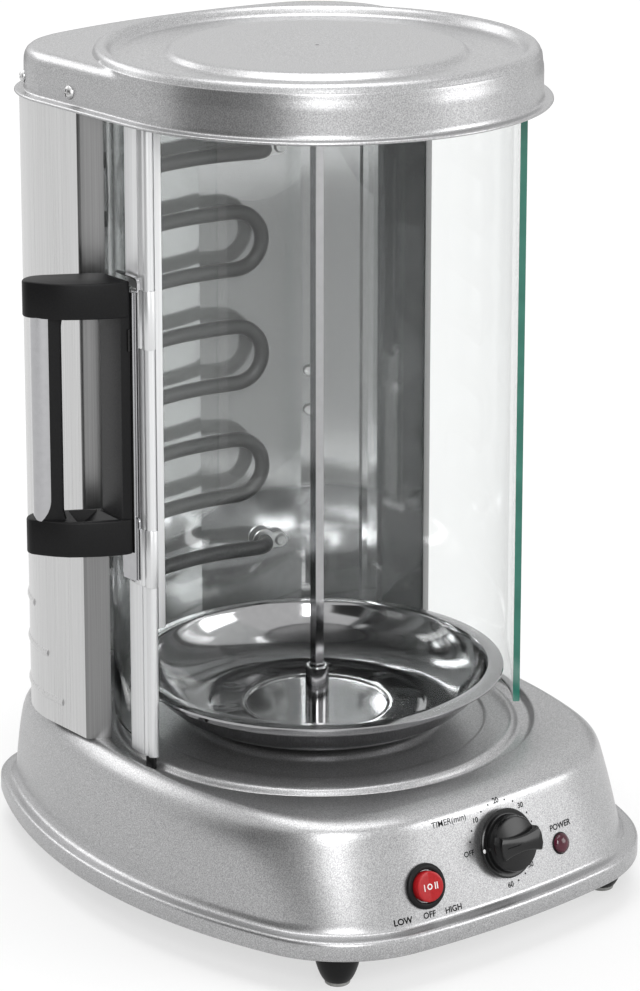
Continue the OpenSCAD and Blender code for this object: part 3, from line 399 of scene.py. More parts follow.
def ring_at(radii, z, n):
    """A level ring with one radius, or with one for each angle."""
    if np.isscalar(radii):
        radii = [radii] * n
    turns = [2 * pi * i / n - pi / 2 for i in range(n)]
    return [(r * cos(a), r * sin(a), z) for r, a in zip(radii, turns)]


# Camera at the photograph's viewing angle

PITCH = radians(13.575)
AZ = radians(39.0)
CAM_FAR = 1.6858
CAM_HIGH = 0.7409
cam = bpy.data.cameras.new("camera")
cam.sensor_width = 36.0
cam.lens = 126.19
cam.shift_x = 0.003
cam.shift_y = -0.2662
cam.clip_end = 50
camera = bpy.data.objects.new("camera", cam)
bpy.context.scene.collection.objects.link(camera)
camera.location = (-CAM_FAR * sin(AZ), -CAM_FAR * cos(AZ), CAM_HIGH)
look = Vector((sin(AZ) * cos(PITCH), cos(AZ) * cos(PITCH), -sin(PITCH)))
camera.rotation_euler = look.to_track_quat("-Z", "Y").to_euler()
bpy.context.scene.camera = camera
bpy.context.scene.view_settings.view_transform = "Standard"


# Base

N_RING = 288
BASE_W, BASE_F, BASE_B = 138.0, 157.0, 165.0
SKIRT_Z, SKIRT_F = 30.5, 149.0
PANEL_A = radians(16.2)
# the panel's roll ends at 60 degrees, and the flatter crown goes on from there
ROLL_Z, ROLL_R = 71.95, 7
ROLL_DEEP = 3.22
CROWN_Z, CROWN_R = 76.05, 25
CROWN_SIN, CROWN_COS = 0.866, 0.5


def panel_d(z):
    """How far the sloped panel lies behind the flange's front."""
    return BASE_F - SKIRT_F + (z - SKIRT_Z) * tan(PANEL_A)


def roll_d(z):
    """The panel's front, rolled over into the base top: first a small radius, then a large one."""
    if z < ROLL_Z:
        return panel_d(z)
    if z < CROWN_Z:
        t = asin((z - ROLL_Z) / ROLL_R + sin(PANEL_A))
        return panel_d(ROLL_Z) + ROLL_R * (cos(PANEL_A) - cos(t))
    t = asin((z - CROWN_Z) / CROWN_R + CROWN_SIN)
    return panel_d(ROLL_Z) + ROLL_DEEP + CROWN_R * (CROWN_COS - cos(t))


def base_ring(z, dw, df, db, rc=BASE_CORNER):
    return ring_at(polar(base_outline(BASE_W - dw, BASE_F - df, BASE_B - db, rc), N_RING), z, N_RING)


def even(z, d):
    """A ring of the base that is set back by d all round."""
    return base_ring(z, d, d, d)


def build_base():
    # inside of the shell, from the middle to the foot line
    rings = [ring_at(r, z, N_RING) for r, z in
             [(30.0, 77.4), (58.0, 77.4), (64.0, 75.4), (97.6, 75.4), (99.6, 74.4), (101.4, 72.7),
              (111.8, 72.7), (112.6, 73.4)]]
    rings += [base_ring(75.0, 23.6, 34.0, 26.0, 64), base_ring(69.0, 18.0, 23.6, 18.0, 72),
              base_ring(50.0, 13.2, 16.4, 13.2, 72), base_ring(30.0, 11.2, 10.8, 11.2),
              even(25.5, 11.0), even(25.4, 2.6), even(18.0, 2.5)]
    # flange and its groove
    rings += [even(18.0, 1.4), even(18.4, 0.5), even(19.2, 0.0), even(26.0, 0.0), even(26.9, 0.25),
              even(27.6, 0.8), even(27.95, 1.7), even(27.98, 3.0), base_ring(27.9, 4.4, 5.2, 4.4),
              base_ring(27.95, 5.4, 6.4, 5.4), base_ring(28.3, 6.3, 7.1, 6.3),
              base_ring(28.9, 7.1, panel_d(28.9), 7.1), base_ring(29.7, 7.7, panel_d(29.7), 7.7)]
    # walls up to the top: height, set back of the sides and of the back, corner radius
    sides = [(30.8, 8.3, 8.3, 68), (32.6, 8.6, 8.6, 68), (38.0, 9.1, 9.1, 70), (44.0, 9.7, 9.7, 72),
             (50.5, 10.4, 10.4, 74), (56.0, 11.1, 11.1, 75.5), (61.0, 11.9, 11.8, 76.5),
             (66.0, 12.9, 12.6, 77), (69.0, 13.9, 13.5, 76), (71.4, 15.0, 14.6, 75),
             (73.2, 16.2, 15.9, 73.5), (74.4, 17.2, 17.0, 72.5), (75.6, 18.4, 18.4, 71),
             (76.6, 19.5, 19.8, 70), (77.5, 20.6, 21.2, 68), (78.2, 21.7, 22.8, 66),
             (78.75, 22.8, 24.4, 64), (79.1, 23.6, 26.0, 62), (79.26, 24.2, 27.6, 60)]
    for z, dw, db, rc in sides:
        rings.append(base_ring(z, dw, roll_d(z), db, rc))
    rings.append(base_ring(TOP_Z, 24.7, 38.0, 29.0, 60))
    # round deck: track, platform, ledge and boss
    for r, z in [(112.7, TOP_Z), (112.1, 79.1), (111.6, 78.6), (111.1, 77.7), (110.6, 76.5),
                 (110.1, 75.7), (109.3, 75.2), (108.2, 75.0), (104.7, 75.0), (103.9, 75.1),
                 (103.2, 75.5), (102.6, 76.3), (102.0, 77.2), (101.2, 77.95), (100.2, 78.4),
                 (99.0, 78.6), (88.2, 78.6), (87.3, 78.52), (86.7, 78.25), (86.1, 77.85), (85.5, 77.62),
                 (84.6, 77.55), (68.0, 77.6), (66.2, 77.65), (65.0, 77.9), (64.0, 78.4), (63.0, 79.1),
                 (61.8, 79.65), (60.2, 79.95), (58.5, 80.0), (30.0, 80.0), (9.0, 80.0), (8.2, 79.6),
                 (8.05, 77.4)]:
        rings.append(ring_at(r, z, N_RING))
    v, f = shell(rings, close_loop=True)
    return make("base_body", v, f, M["paint"], "grill", ("base_shell",), smooth=50)


BASE = build_base()


# Lid

def build_lid():
    n = N_RING

    def lr(z, d, least=0.0):
        """A ring of the lid's outline, but nowhere inside the raised ring."""
        return ring_at(np.maximum(polar(lid_outline(d), n), least), z, n)

    under = 423.6
    rings = [ring_at(60.0, under, n), ring_at(99.0, under, n), lr(422.8, -7.5), lr(419.0, -1.6),
             lr(402.9, -1.5), lr(402.5, -1.2)]
    rings += [lr(402.5, 4.0), lr(402.75, 4.7), lr(403.2, 5.0), lr(403.7, 4.9), lr(404.15, 4.3),
              lr(404.3, 3.2), lr(404.25, 1.4), lr(404.5, 0.5), lr(405.2, 0.1), lr(407.0, 0.0),
              lr(417.0, 0.0), lr(420.0, -0.15, 111.6), lr(422.2, -0.7, 111.4), lr(424.0, -1.8, 111.25),
              lr(425.3, -3.4, 111.1), lr(425.9, -5.2, 111.0), lr(426.0, -7.6, 110.9)]
    for r, z in [(110.7, 426.3), (110.1, 427.8), (109.1, 429.2), (107.6, 430.05), (105.9, 430.2),
                 (104.5, 429.7), (103.4, 428.6), (102.3, 426.8), (101.5, 425.7), (100.4, 425.15),
                 (98.5, 425.0), (77.5, 425.0), (76.0, 425.2), (75.0, 425.8), (73.6, 427.2),
                 (72.6, 427.95), (71.2, 428.35), (68.0, 428.45), (30.0, 428.6), (1.0, 428.6)]:
        rings.append(ring_at(r, z, n))
    rings.append(ring_at(1.0, under, n))
    v, f = shell(rings, close_loop=True)
    make("lid_cap", v, f, M["paint"], "grill", ("lid",), smooth=50)


build_lid()


# Rear housing, with folded front edges and pressed louvres

FOLD_Y = 43.0
WALL_OUT = 2.5
WALL_T = 1.2
FOLD_X = LID_R + WALL_OUT
RIB_Z, RIB_STEP = 92.5, 23


def wall_path(d):
    """The wall's line behind the fold, from the right side round to the left."""
    pts = [p for p in lid_outline(d) if p[1] > FOLD_Y + 2]
    right = [p for p in pts if p[0] > 0]
    left = [p for p in pts if p[0] <= 0]
    return right + left


def build_housing():
    out = wall_path(WALL_OUT)
    inn = wall_path(WALL_OUT - WALL_T)
    near, far = FOLD_Y + 1.0, FOLD_Y + 2
    a = [(FOLD_X, near), (FOLD_X, far)] + out + [(-FOLD_X, far), (-FOLD_X, near)]
    x1 = FOLD_X - WALL_T
    b = [(x1, near), (x1, far)] + inn + [(-x1, far), (-x1, near)]
    outline = a + b[::-1]
    v, f = prism(outline, TOP_Z, LID_Z)
    make("housing_wall", v, f, M["wall"], "grill", ("rear_housing",), smooth=30)
    for s, tag in ((-1, "left"), (1, "right")):
        x0 = FOLD_X
        edge = [(x0, FOLD_Y + 1.0), (x0 - 0.35, FOLD_Y + 0.1), (x0 - 1.2, FOLD_Y - 0.7),
                (x0 - 9.6, FOLD_Y - 6.4), (x0 - 10.4, FOLD_Y - 6.7), (x0 - 10.7, FOLD_Y - 6.0),
                (x0 - 10.2, FOLD_Y - 5.4), (x0 - 1.6, FOLD_Y + 0.4), (x0 - 1.2, FOLD_Y + 1.0)]
        v, f = prism([(s * x, y) for x, y in edge], TOP_Z, LID_Z)
        # the folded edges get the darker copy of the wall's steel: painted shade, not a different metal
        make("housing_fold_" + tag, v, f, M["fold"], "grill", smooth=30)
    # pressed ribs round the back, each a rounded bar that follows the wall
    for i in range(3):
        z = RIB_Z + RIB_STEP * i
        y0 = 62 + 14 * i
        rings = []
        keep = [k for k, p in enumerate(lid_outline(0)) if p[1] > y0]
        prof = [(2.2, -2.3), (2.6, -1.8), (3.1, -0.9), (3.35, 0.0), (3.1, 0.9), (2.6, 1.8), (2.2, 2.3)]
        lines = [[lid_outline(d)[k] for k in keep] for d, _ in prof]
        for j in range(len(keep)):
            rings.append([(lines[q][j][0], lines[q][j][1], z + dz) for q, (_, dz) in enumerate(prof)])
        v, f = shell(rings)
        make("louvre_rib_%d" % (i + 1), v, f, M["wall"], "grill", smooth=50)


build_housing()


# Glass door: pane with green end faces, aluminium edge profile and clips

PANE_FROM, PANE_SWEEP = -39.0, 217.0


def sector(r, plan_deg):
    """A place round the spit, by radius and angle in plan."""
    a = radians(plan_deg)
    return (r * cos(a), r * sin(a))


def build_pane():
    z0, z1 = PLAT_Z - 0.5, LID_Z + 8
    c = 0.5
    sec = [(GLASS_I + c, z0), (GLASS_R - c, z0), (GLASS_R, z0 + c), (GLASS_R, z1 - c),
           (GLASS_R - c, z1), (GLASS_I + c, z1), (GLASS_I, z1 - c), (GLASS_I, z0 + c)]
    n = 140
    rings = []
    for i in range(n + 1):
        a = PANE_FROM + PANE_SWEEP * i / n
        rings.append([(*sector(r, a), z) for r, z in sec])
    v, f = shell(rings)
    ob = make("glass_pane_curved", v, f, M["glass"], "door", ("glass_pane",), smooth=40)
    ob.data.materials.append(M["edge"])
    for p in ob.data.polygons:
        if len(p.vertices) > 4:
            p.material_index = 1
            p.use_smooth = False


build_pane()
BEAD = (-104.0, 0.6)
BEAD_R = 2.75
FLAT_END = 16.8
CLIP_END = 10.6


def profile_section(grow=0.0, flat_end=FLAT_END, groove=True):
    """Outer face of the door profile in plan, from the flat's far end over the bead."""
    ro = PROF_O + grow
    pts = []
    ys = [flat_end, flat_end - 0.4] + [flat_end - 0.4 - (flat_end - 5.6) * k / 6 for k in range(1, 7)]
    for y in ys:
        pts.append((-sqrt(ro * ro - y * y), y))
    if groove:
        for y, d in ((4.9, 0.0), (4.7, 0.7), (4.2, 0.8), (3.9, 0.1)):
            pts.append((-sqrt((ro - d) ** 2 - y * y), y))
    br = BEAD_R + grow
    for k in range(13):
        a = radians(140 + 170 * k / 12)
        pts.append((BEAD[0] + br * cos(a), BEAD[1] + br * sin(a)))
    return pts


def build_profile():
    z0, z1 = PLAT_Z - 4.2, LID_Z - 0.6
    # the two clips: each from its lower to its upper end
    lo2, lo = 169.6, 199.3
    hi2, hi = 290.9, 320.6
    round_pane = [(-GLASS_I + 0.1, 1.0), (-GLASS_I + 0.1, 3.0), (-GLASS_R - 0.05, 3.0)]
    full = profile_section() + round_pane
    full += [(-sqrt((GLASS_R + 0.08) ** 2 - y * y), y) for y in (5.0, 9.0, 13.0, FLAT_END)]
    short = profile_section(0.0, 7.6, False) + round_pane
    short += [(-sqrt((GLASS_R + 0.08) ** 2 - y * y), y) for y in (5.0, 7.6)]
    for name, sec, a, b in (("low", full, z0, lo2), ("mid", short, lo2, hi), ("top", full, hi, z1)):
        v, f = prism(sec, a, b)
        make("door_profile_" + name, v, f, M["alu"], "door", ("door_profile",) if name == "low" else (),
             smooth=28, bev=0.12, seg=1, bev_angle=70)
    # lip on the inside of the pane, cut off short over the pan
    lip = [(-101.6, -1.6), (-98.2, -2.2), (-97.7, -1.9), (-97.9, -0.6), (-99.9, 0.2), (-99.9, 3.0),
           (-100.8, 3.0), (-100.8, 0.2), (-101.6, 0.0)]
    v, f = prism(lip, PLAT_Z + 63, z1)
    make("door_profile_lip", v, f, M["alu"], "door", smooth=28, bev=0.2, seg=2, bev_angle=50)
    for i, (a, b) in enumerate(((lo2, lo), (hi2, hi))):
        sec = profile_section(0.55, CLIP_END) + [(-104.9, 1.6), (-104.9, 3.4)]
        sec += [(-sqrt((GLASS_R + 1.2) ** 2 - y * y), y) for y in (5.0, 8.0, CLIP_END)]
        v, f = prism(sec, a + 0.15, b - 0.15)
        make("profile_clip_%d" % (i + 1), v, f, M["alu"], "door", ("profile_clips",) if i == 0 else (),
             smooth=28, bev=0.25, seg=2, bev_angle=60)
    # tab of the lower clip beside the handle
    tab = [(-107.9, 10.4), (-107.2, 10.4), (-106.0, 21.0), (-106.8, 21.0)]
    v, f = prism(tab, 172.5, 190.0)
    make("profile_clip_tab", v, f, M["alu"], "door", smooth=28, bev=0.2, bev_angle=50)
    # dark end cap that slides in the base's track
    cap = [(-107.0, 3.4), (-106.9, -1.2), (-106.2, -2.2), (-104.6, -2.2), (-103.8, -1.2), (-103.8, 2.2),
           (-104.6, 3.4)]
    v, f = prism(cap, TRACK_Z + 0.1, PLAT_Z - 4.2)
    make("profile_end_cap", v, f, M["black"], "door", ("profile_foot",), smooth=28, bev=0.4, seg=2,
         bev_angle=40)


build_profile()


# Handle

def cut(ob, part):
    """Cut a closed form out of a piece."""
    v, f = part
    me = bpy.data.meshes.new("cutter")
    me.from_pydata([(x * MM, y * MM, z * MM) for x, y, z in v], [], [list(q) for q in f])
    bm = bmesh.new()
    bm.from_mesh(me)
    bmesh.ops.recalc_face_normals(bm, faces=bm.faces)
    bm.to_mesh(me)
    bm.free()
    tool = bpy.data.objects.new("cutter", me)
    bpy.context.scene.collection.objects.link(tool)
    mod = ob.modifiers.new("cut", "BOOLEAN")
    mod.operation = "DIFFERENCE"
    mod.solver = "EXACT"
    mod.object = tool
    bpy.context.view_layer.update()
    done = bpy.data.meshes.new_from_object(ob.evaluated_get(bpy.context.evaluated_depsgraph_get()))
    ob.modifiers.remove(mod)
    ob.data = done
    bpy.data.objects.remove(tool)
    shade(ob)


H_LOW, H_TOP, ARM_H = 186.8, 325.0, 18.0
POST_IN, POST_Y = 110.9, 6.4
BAR = (-142.4, 35.3)
BAR_A = radians(-32.7)
BAR_R, BAR_T = 6.2, 0.7
BAR_HALF = 113
SHELL_CUT, SHELL_CUT_Z = 52, 12.0


def handle_at(dx, dy):
    """A place on the handle: dx away from the door, dy to the back."""
    return (-POST_IN - dx, POST_Y + dy)


def arm_outline():
    front = [(0, 0), (1.8, 0.0), (3.5, 0.15), (6.2, 1.1), (9.1, 2.4), (15.5, 5.6), (22.1, 9.8),
             (28.3, 14.4), (33.1, 19.8), (36.7, 25.2), (39.0, 29.2)]
    tip = [(39.6, 30.8), (39.7, 32.2), (39.55, 33.7), (39.0, 35.0), (38.0, 36.2), (36.6, 37.4),
           (34.8, 38.3), (33.1, 38.85), (31.5, 39.0), (29.9, 38.9), (28.4, 38.5)]
    rear = [(25.2, 37.2), (17.1, 32.6), (9.6, 28.3), (3.6, 24.8), (0, 22.7)]
    return [handle_at(*q) for q in front + tip + rear]


def build_handle():
    out = arm_outline()
    v, f = prism(out, H_TOP - ARM_H, H_TOP)
    make("handle_arm_upper", v, f, M["black"], "door", ("handle_frame",), smooth=40, bev=0.9, seg=3,
         bev_angle=60)
    v, f = prism(out, H_LOW, H_LOW + ARM_H)
    low = make("handle_arm_lower", v, f, M["black"], "door", smooth=40, bev=0.9, seg=3, bev_angle=60)
    t = H_LOW + ARM_H
    top = [(*handle_at(*q), t + 0.5) for q in ((5.6, 3.2), (24.2, 13.2), (17.4, 30.6), (4.4, 22.6))]
    bot = [(*handle_at(*q), t - 5.5) for q in ((13.2, 9.0), (22.2, 14.2), (16.4, 28.6), (11.2, 25.2))]
    cut(low, shell([bot, top]))
    post = [handle_at(*q) for q in ((0, 0.1), (4.7, 1.9), (2.6, 22.0), (0, 22.0))]
    v, f = prism(post, H_LOW + 2, H_TOP - 2)
    ob = make("handle_post", v, f, M["post"], "door", smooth=40, bev=0.5, seg=3, bev_angle=30)
    ob.data.materials.append(M["black"])
    for p in ob.data.polygons:
        if p.normal.y < -0.6:
            p.material_index = 1
    # small window in the post's front, level with the upper clip
    v, f = block(-112.6, -111.2, POST_Y - 0.25, POST_Y + 1.2, 290.0, 301.0)
    make("handle_post_slot", v, f, M["gloss"], "door", bev=0.08, seg=1)


def turned(dx, dy):
    """A place near the grip: dx towards the post, dy across."""
    return (BAR[0] + dx * cos(BAR_A) - dy * sin(BAR_A), BAR[1] + dx * sin(BAR_A) + dy * cos(BAR_A))


def build_grip():
    z0, z1 = H_LOW + ARM_H - 1.0, H_TOP - ARM_H + 1.0
    n = 40
    rings = []
    # a bright half shell whose lower corner is rounded, wrapped on a black core
    for j in range(n + 1):
        z = z0 + (z1 - z0) * j / n
        rise = max(0.0, 1 - (z - z0) / SHELL_CUT_Z)
        a0, a1 = radians(180 - BAR_HALF), radians(180 + BAR_HALF - SHELL_CUT * rise ** 2.2)
        steps = [a0 + (a1 - a0) * k / n for k in range(n + 1)]
        bore = BAR_R - BAR_T
        outer = [(*turned(BAR_R * cos(a), BAR_R * sin(a)), z) for a in steps]
        inner = [(*turned(bore * cos(a), bore * sin(a)), z) for a in steps[::-1]]
        rings.append(outer + inner)
    v, f = shell(rings)
    make("grip_shell", v, f, M["chrome"], "door", ("grip_bar",), smooth=40)
    core = [(5.4 * cos(radians(a)), 5.4 * sin(radians(a))) for a in range(70, 291, 15)]
    core += [(2.4, -5.5), (6.4, -5.3), (8.0, -4.6), (8.8, -3.4), (8.8, 3.4), (8.0, 4.6), (6.4, 5.3),
             (2.4, 5.5)]
    rings = []
    for z, g in ((z0, 1.6), (z0 + 1.5, 1.3), (z0 + 3.5, 1.1), (z0 + 6, 1.0), (z1 - 6, 1.0),
                 (z1 - 3.5, 1.1), (z1 - 1.5, 1.3), (z1, 1.6)):
        rings.append([(*turned(x if x < 6 else 6 + (x - 6) * g, y), z) for x, y in core])
    v, f = shell(rings)
    make("grip_core", v, f, M["black"], "door", ("grip_backing",), smooth=40)


def build_bracket():
    sec = [(-110.85, 4.9), (-110.3, 4.7), (-110.15, 5.6), (-109.5, 5.8), (-109.4, 4.6), (-108.9, 4.5),
           (-108.8, 5.7), (-108.2, 5.7), (-108.1, 4.3), (-107.75, 4.3), (-107.75, 15.0),
           (-110.85, 15.0)]
    v, f = prism(sec, 172.8, 319.4)
    make("handle_bracket_sheet", v, f, M["chrome"], "door", ("handle_bracket",), smooth=28, bev=0.1,
         seg=1)
    # bent ends of the sheet over the two arms
    path = [(-109.4, 19.0, 327.4), (-109.4, 12.0, 327.1), (-109.3, 5.4, 326.9), (-109.1, 3.4, 326.6),
            (-108.9, 2.4, 325.8), (-108.8, 2.2, 324.4), (-108.8, 2.2, 320.9)]
    v, f = ribbon(path, (1, 0, 0), 2.4, 0.7)
    make("bracket_hook_top", v, f, M["chrome"], "door", smooth=40)
    path = [(-109.6, 8.2, 203.4), (-109.6, 7.6, 204.8), (-109.5, 6.4, 205.5), (-109.2, 4.6, 205.4),
            (-109.0, 3.6, 204.6), (-108.9, 3.3, 203.2), (-108.9, 3.3, 199.6)]
    v, f = ribbon(path, (1, 0, 0), 1.0, 0.6)
    make("bracket_hook_low", v, f, M["chrome"], "door", smooth=40)


def ribbon(path, across, width, thick):
    """A flat strip along a path, as wide as given along one fixed direction."""
    pts = [Vector(p) for p in path]
    w = Vector(across).normalized()
    rings = []
    for i, p in enumerate(pts):
        t = (pts[min(i + 1, len(pts) - 1)] - pts[max(i - 1, 0)]).normalized()
        n = t.cross(w).normalized()
        a, b = w * width / 2, n * thick / 2
        rings.append([tuple(p - a - b), tuple(p + a - b), tuple(p + a + b), tuple(p - a + b)])
    return shell(rings)


build_handle()
build_grip()
build_bracket()


# Drip pan, socket and spit, which turn together

DIMPLE_R, DIMPLE_W, DIMPLE_DEEP = 49.5, 6.0, 1.1
DIMPLE_STEP, DIMPLE_FROM = 36, 9


def build_pan():
    prof = [(4.1, PAN_Z), (56.0, PAN_Z), (61.0, 83.0), (66.0, 84.0), (72.0, 86.6), (78.0, 90.4),
            (83.0, 95.0), (86.4, 99.0), (87.4, 99.9), (87.6, 100.8), (88.4, 103.6), (89.4, 105.8),
            (91.0, 106.3), (95.4, 105.7), (95.9, 106.0), (96.0, 106.6), (95.6, 107.1), (92.0, 107.8),
            (89.2, 107.95), (88.0, 107.6), (87.2, 106.7), (86.6, 105.2), (85.0, 101.6), (82.2, 97.4),
            (78.6, 93.6), (74.0, 90.0), (69.0, 87.2), (64.0, 85.5), (60.0, 84.9), (57.0, 84.75),
            (55.8, 84.7), (55.0, 84.85), (54.0, 85.0), (50.0, 85.0), (46.0, 85.0), (42.0, 85.0),
            (39.0, 85.0), (37.8, 84.9), (37.0, 84.5), (36.4, 84.05), (35.4, 83.9), (24.0, 83.85),
            (10.0, 83.85), (4.1, 83.85)]
    v, f = lathe(prof, 240)
    # ten dimples pressed into the ring round the middle
    out = []
    for x, y, z in v:
        r = hypot(x, y)
        if 84.6 < z < 85.2 and 38 < r < 58:
            a = degrees(atan2(y, x)) - DIMPLE_FROM
            k = radians(round(a / DIMPLE_STEP) * DIMPLE_STEP + DIMPLE_FROM)
            d = hypot(x - DIMPLE_R * cos(k), y - DIMPLE_R * sin(k))
            if d < DIMPLE_W:
                z -= DIMPLE_DEEP * (1 - d / DIMPLE_W)
        out.append((x, y, z))
    make("drip_pan_bowl", out, f, M["pan"], "carousel", ("drip_pan",), smooth=24)


def build_spit():
    z = PAN_Z + 1
    prof = [(4.1, z), (6.0, z), (6.0, z + 20.4), (5.85, z + 20.8), (5.5, z + 21), (4.4, z + 21),
            (4.0, z + 20.8), (3.8, z + 20.2), (3.8, z + 6), (4.1, z + 5.2)]
    v, f = lathe(prof, 64)
    make("spit_socket_tube", v, f, M["pan"], "carousel", ("spit_socket",), smooth=30)
    s = 2.6
    c = 0.35
    sec = [(s, -s + c), (s, s - c), (s - c, s), (-s + c, s), (-s, s - c), (-s, -s + c), (-s + c, -s),
           (s - c, -s)]
    ends = ((0.7, z + 6), (1, z + 7), (1, LID_Z - 2), (0.85, LID_Z - 1.5), (0.85, LID_Z + 7.8))
    rings = [[(x * g, y * g, h) for x, y in sec] for g, h in ends]
    v, f = shell(rings)
    make("spit_bar", v, f, M["pan"], "carousel", ("spit",), smooth=30)


build_pan()
build_spit()


# Heater: one bent tube, with its end plates and screws kept from the part

PASS_A = 15.8
PASSES = 8
PASS_Z, PASS_STEP = 131.5, 31.4
BEND_R = PASS_STEP / 2
LEG_R = 8
TUBE_R = 4.0
REFL_DROP, REFL_RUN = 18, 56
REFL_A = degrees(atan(REFL_DROP / REFL_RUN))


def heater_path():
    """Middle line of the tube: a leg through the reflector, eight passes with bends, and a leg back."""
    pts = []

    def at(a, z):
        return (HEAT_R * sin(radians(a)), HEAT_R * cos(radians(a)), z)

    last = PASSES - 1
    zs = [PASS_Z + PASS_STEP * (last - k) for k in range(PASSES)]

    def leg(z):
        a = radians(REFL_A)
        t, o = (cos(a), -sin(a)), (sin(a), cos(a))
        base = (HEAT_R * o[0], HEAT_R * o[1])

        def put(u, w):
            return (base[0] + u * t[0] + w * o[0], base[1] + u * t[1] + w * o[1], z)

        out = [put(2 * LEG_R, 17), put(2 * LEG_R, 12), put(2 * LEG_R, LEG_R)]
        for k in range(1, 9):
            q = radians(90 * k / 8)
            out.append(put(LEG_R + LEG_R * cos(q), LEG_R - LEG_R * sin(q)))
        out.append(put(4, 0))
        return out

    pts += leg(zs[0])
    side = -1
    for k in range(PASSES):
        a0 = (REFL_A if k == 0 else PASS_A) * -side
        a1 = (REFL_A if k == last else PASS_A) * side
        for i in range(25):
            pts.append(at(a0 + (a1 - a0) * i / 24, zs[k]))
        if k < last:
            a = radians(PASS_A * side)
            c = (HEAT_R * sin(a), HEAT_R * cos(a))
            t = (cos(a) * side, -sin(a) * side)
            zm = (zs[k] + zs[k + 1]) / 2
            for i in range(1, 16):
                q = radians(180 * i / 16)
                h = BEND_R * sin(q)
                pts.append((c[0] + t[0] * h, c[1] + t[1] * h, zm + BEND_R * cos(q)))
        side = -side
    pts += leg(zs[last])[::-1]
    return pts


v, f = tube(heater_path(), TUBE_R)
make("heater_tube", v, f, M["heater"], "grill", ("heater", "heater_bends"), smooth=60)


# Controls on the sloped front panel

def panel_y(x, z):
    """Where the sloped panel lies at a place seen from the front."""
    return -(SKIRT_F - (z - SKIRT_Z) * tan(PANEL_A)) + PANEL_R - sqrt(PANEL_R ** 2 - x * x)


def on_panel(x, z):
    """Matrix of a place on the panel: local X across, Y up the slope, Z outward."""
    t = asin(x / PANEL_R)
    ex = Vector((cos(t), sin(t), 0))
    n = Vector((sin(t) * cos(PANEL_A), -cos(t) * cos(PANEL_A), sin(PANEL_A)))
    u = n.cross(ex)
    m = Matrix((ex, u, n)).transposed().to_4x4()
    m.translation = Vector((x, panel_y(x, z), z))
    return m


KNOB = (1.7, 53.8)
SWITCH = (-48.6, 45.3)
LAMP = (38.6, 44.0)
GRIP_HALF = 13.2
ROCKER_RISE = 0.16
ROCKER_TOP, ROCKER_SKIRT = 3.4, -1.8
LENS_R, LENS_H = 4.9, 2.9


def build_knob():
    at = on_panel(*KNOB)
    prof = [(8.0, 2.2), (16.4, 2.2), (16.9, 2.6), (17.0, 3.2), (16.8, 3.9), (16.3, 4.3), (15.6, 4.3),
            (14.6, 4.0), (14.2, 4.1), (13.9, 4.6), (13.8, 6.0), (13.6, 9.0), (13.2, 9.9), (12.4, 10.3),
            (0.0, 10.4), (0.0, 5.0), (8.0, 5.0)]
    v, f = moved(lathe(prof, 96), at)
    make("timer_knob_body", v, f, M["gloss"], "timer", ("timer_knob",), smooth=34)
    # grip across the knob, waisted in the middle
    rings = []
    for z, g in ((8.0, 1.0), (12.4, 0.98), (13.6, 0.94), (14.2, 0.87), (14.5, 0.77)):
        xs = [-GRIP_HALF + 2 * GRIP_HALF * k / 24 for k in range(25)]
        near = []
        for x in xs:
            wide = 4.2 + 2.4 * (x / GRIP_HALF) ** 2
            lim = sqrt(max(13.5 ** 2 - x * x, 0.0)) + 0.6
            near.append((x * (0.9 + 0.1 * g), min(wide, lim) * g))
        rings.append([(x, -y, z) for x, y in near] + [(x, y, z) for x, y in near[::-1]])
    v, f = moved(shell(rings), at)
    make("timer_knob_grip", v, f, M["gloss"], "timer", smooth=40)
    v, f = moved(block(-9.8, -1.0, -0.35, 0.35, 14.2, 14.5), at)
    make("timer_knob_line", v, f, M["ink"], "timer", bev=0.1, seg=1)
    prof = [(0.0, 4.0), (1.5, 4.0), (1.5, 4.45), (1.2, 4.7), (0.0, 4.8)]
    v, f = lathe(prof, 32)
    v = [(x * 0.5 - 15.9, y * 0.8, z - 0.25) for x, y, z in v]
    v, f = moved((v, f), at)
    make("timer_knob_dot", v, f, M["white"], "timer", ("knob_mark",))


def build_switch():
    at = on_panel(*SWITCH)
    prof = [(8.0, -6.0), (10.2, -6.0), (10.2, 0.1), (10.8, 0.1), (11.05, 0.5), (11.0, 1.1),
            (10.65, 1.7), (9.9, 2.1), (9.0, 2.2), (8.3, 2.0), (8.0, 1.5)]
    v, f = moved(lathe(prof, 96), at)
    make("switch_bezel", v, f, M["black"], "grill", ("switch_body",), smooth=34)
    # round rocker: two shallow slopes that meet in the middle, over a straight skirt
    n = 72
    rings = []
    for r, drop in ((7.4, -1), (7.4, 0.0), (7.25, 0.35), (6.9, 0.55), (6.3, 0.62), (5.0, 0.62),
                    (3.0, 0.62), (1.2, 0.62), (0.01, 0.62)):
        ring = []
        for i in range(n):
            a = 2 * pi * i / n
            x, y = r * cos(a), r * sin(a)
            top = ROCKER_TOP + ROCKER_RISE * abs(x) if drop >= 0 else ROCKER_SKIRT
            ring.append((x, y, top + max(drop, 0)))
        rings.append(ring)
    v, f = moved(shell(rings), at)
    make("rocker_button", v, f, M["red"], "rocker", ("rocker_cap",), smooth=36)

    def stroke(x0, x1, half=1.65):
        pts = [(x0, -half), (x1, -half), (x1, half), (x0, half)]
        return shell([[(x, y, h + ROCKER_RISE * abs(x)) for x, y in pts] for h in (3.9, 4.1)])

    ringed = lathe([(0.9, 3.95), (1.45, 3.95), (1.45, 4.3), (0.9, 4.3)], 40)
    marks = join(stroke(-3.5, -3.0), stroke(2.7, 3.2), stroke(3.8, 4.3), ringed)
    v, f = moved(marks, at)
    make("rocker_marks", v, f, M["white"], "rocker", smooth=30)


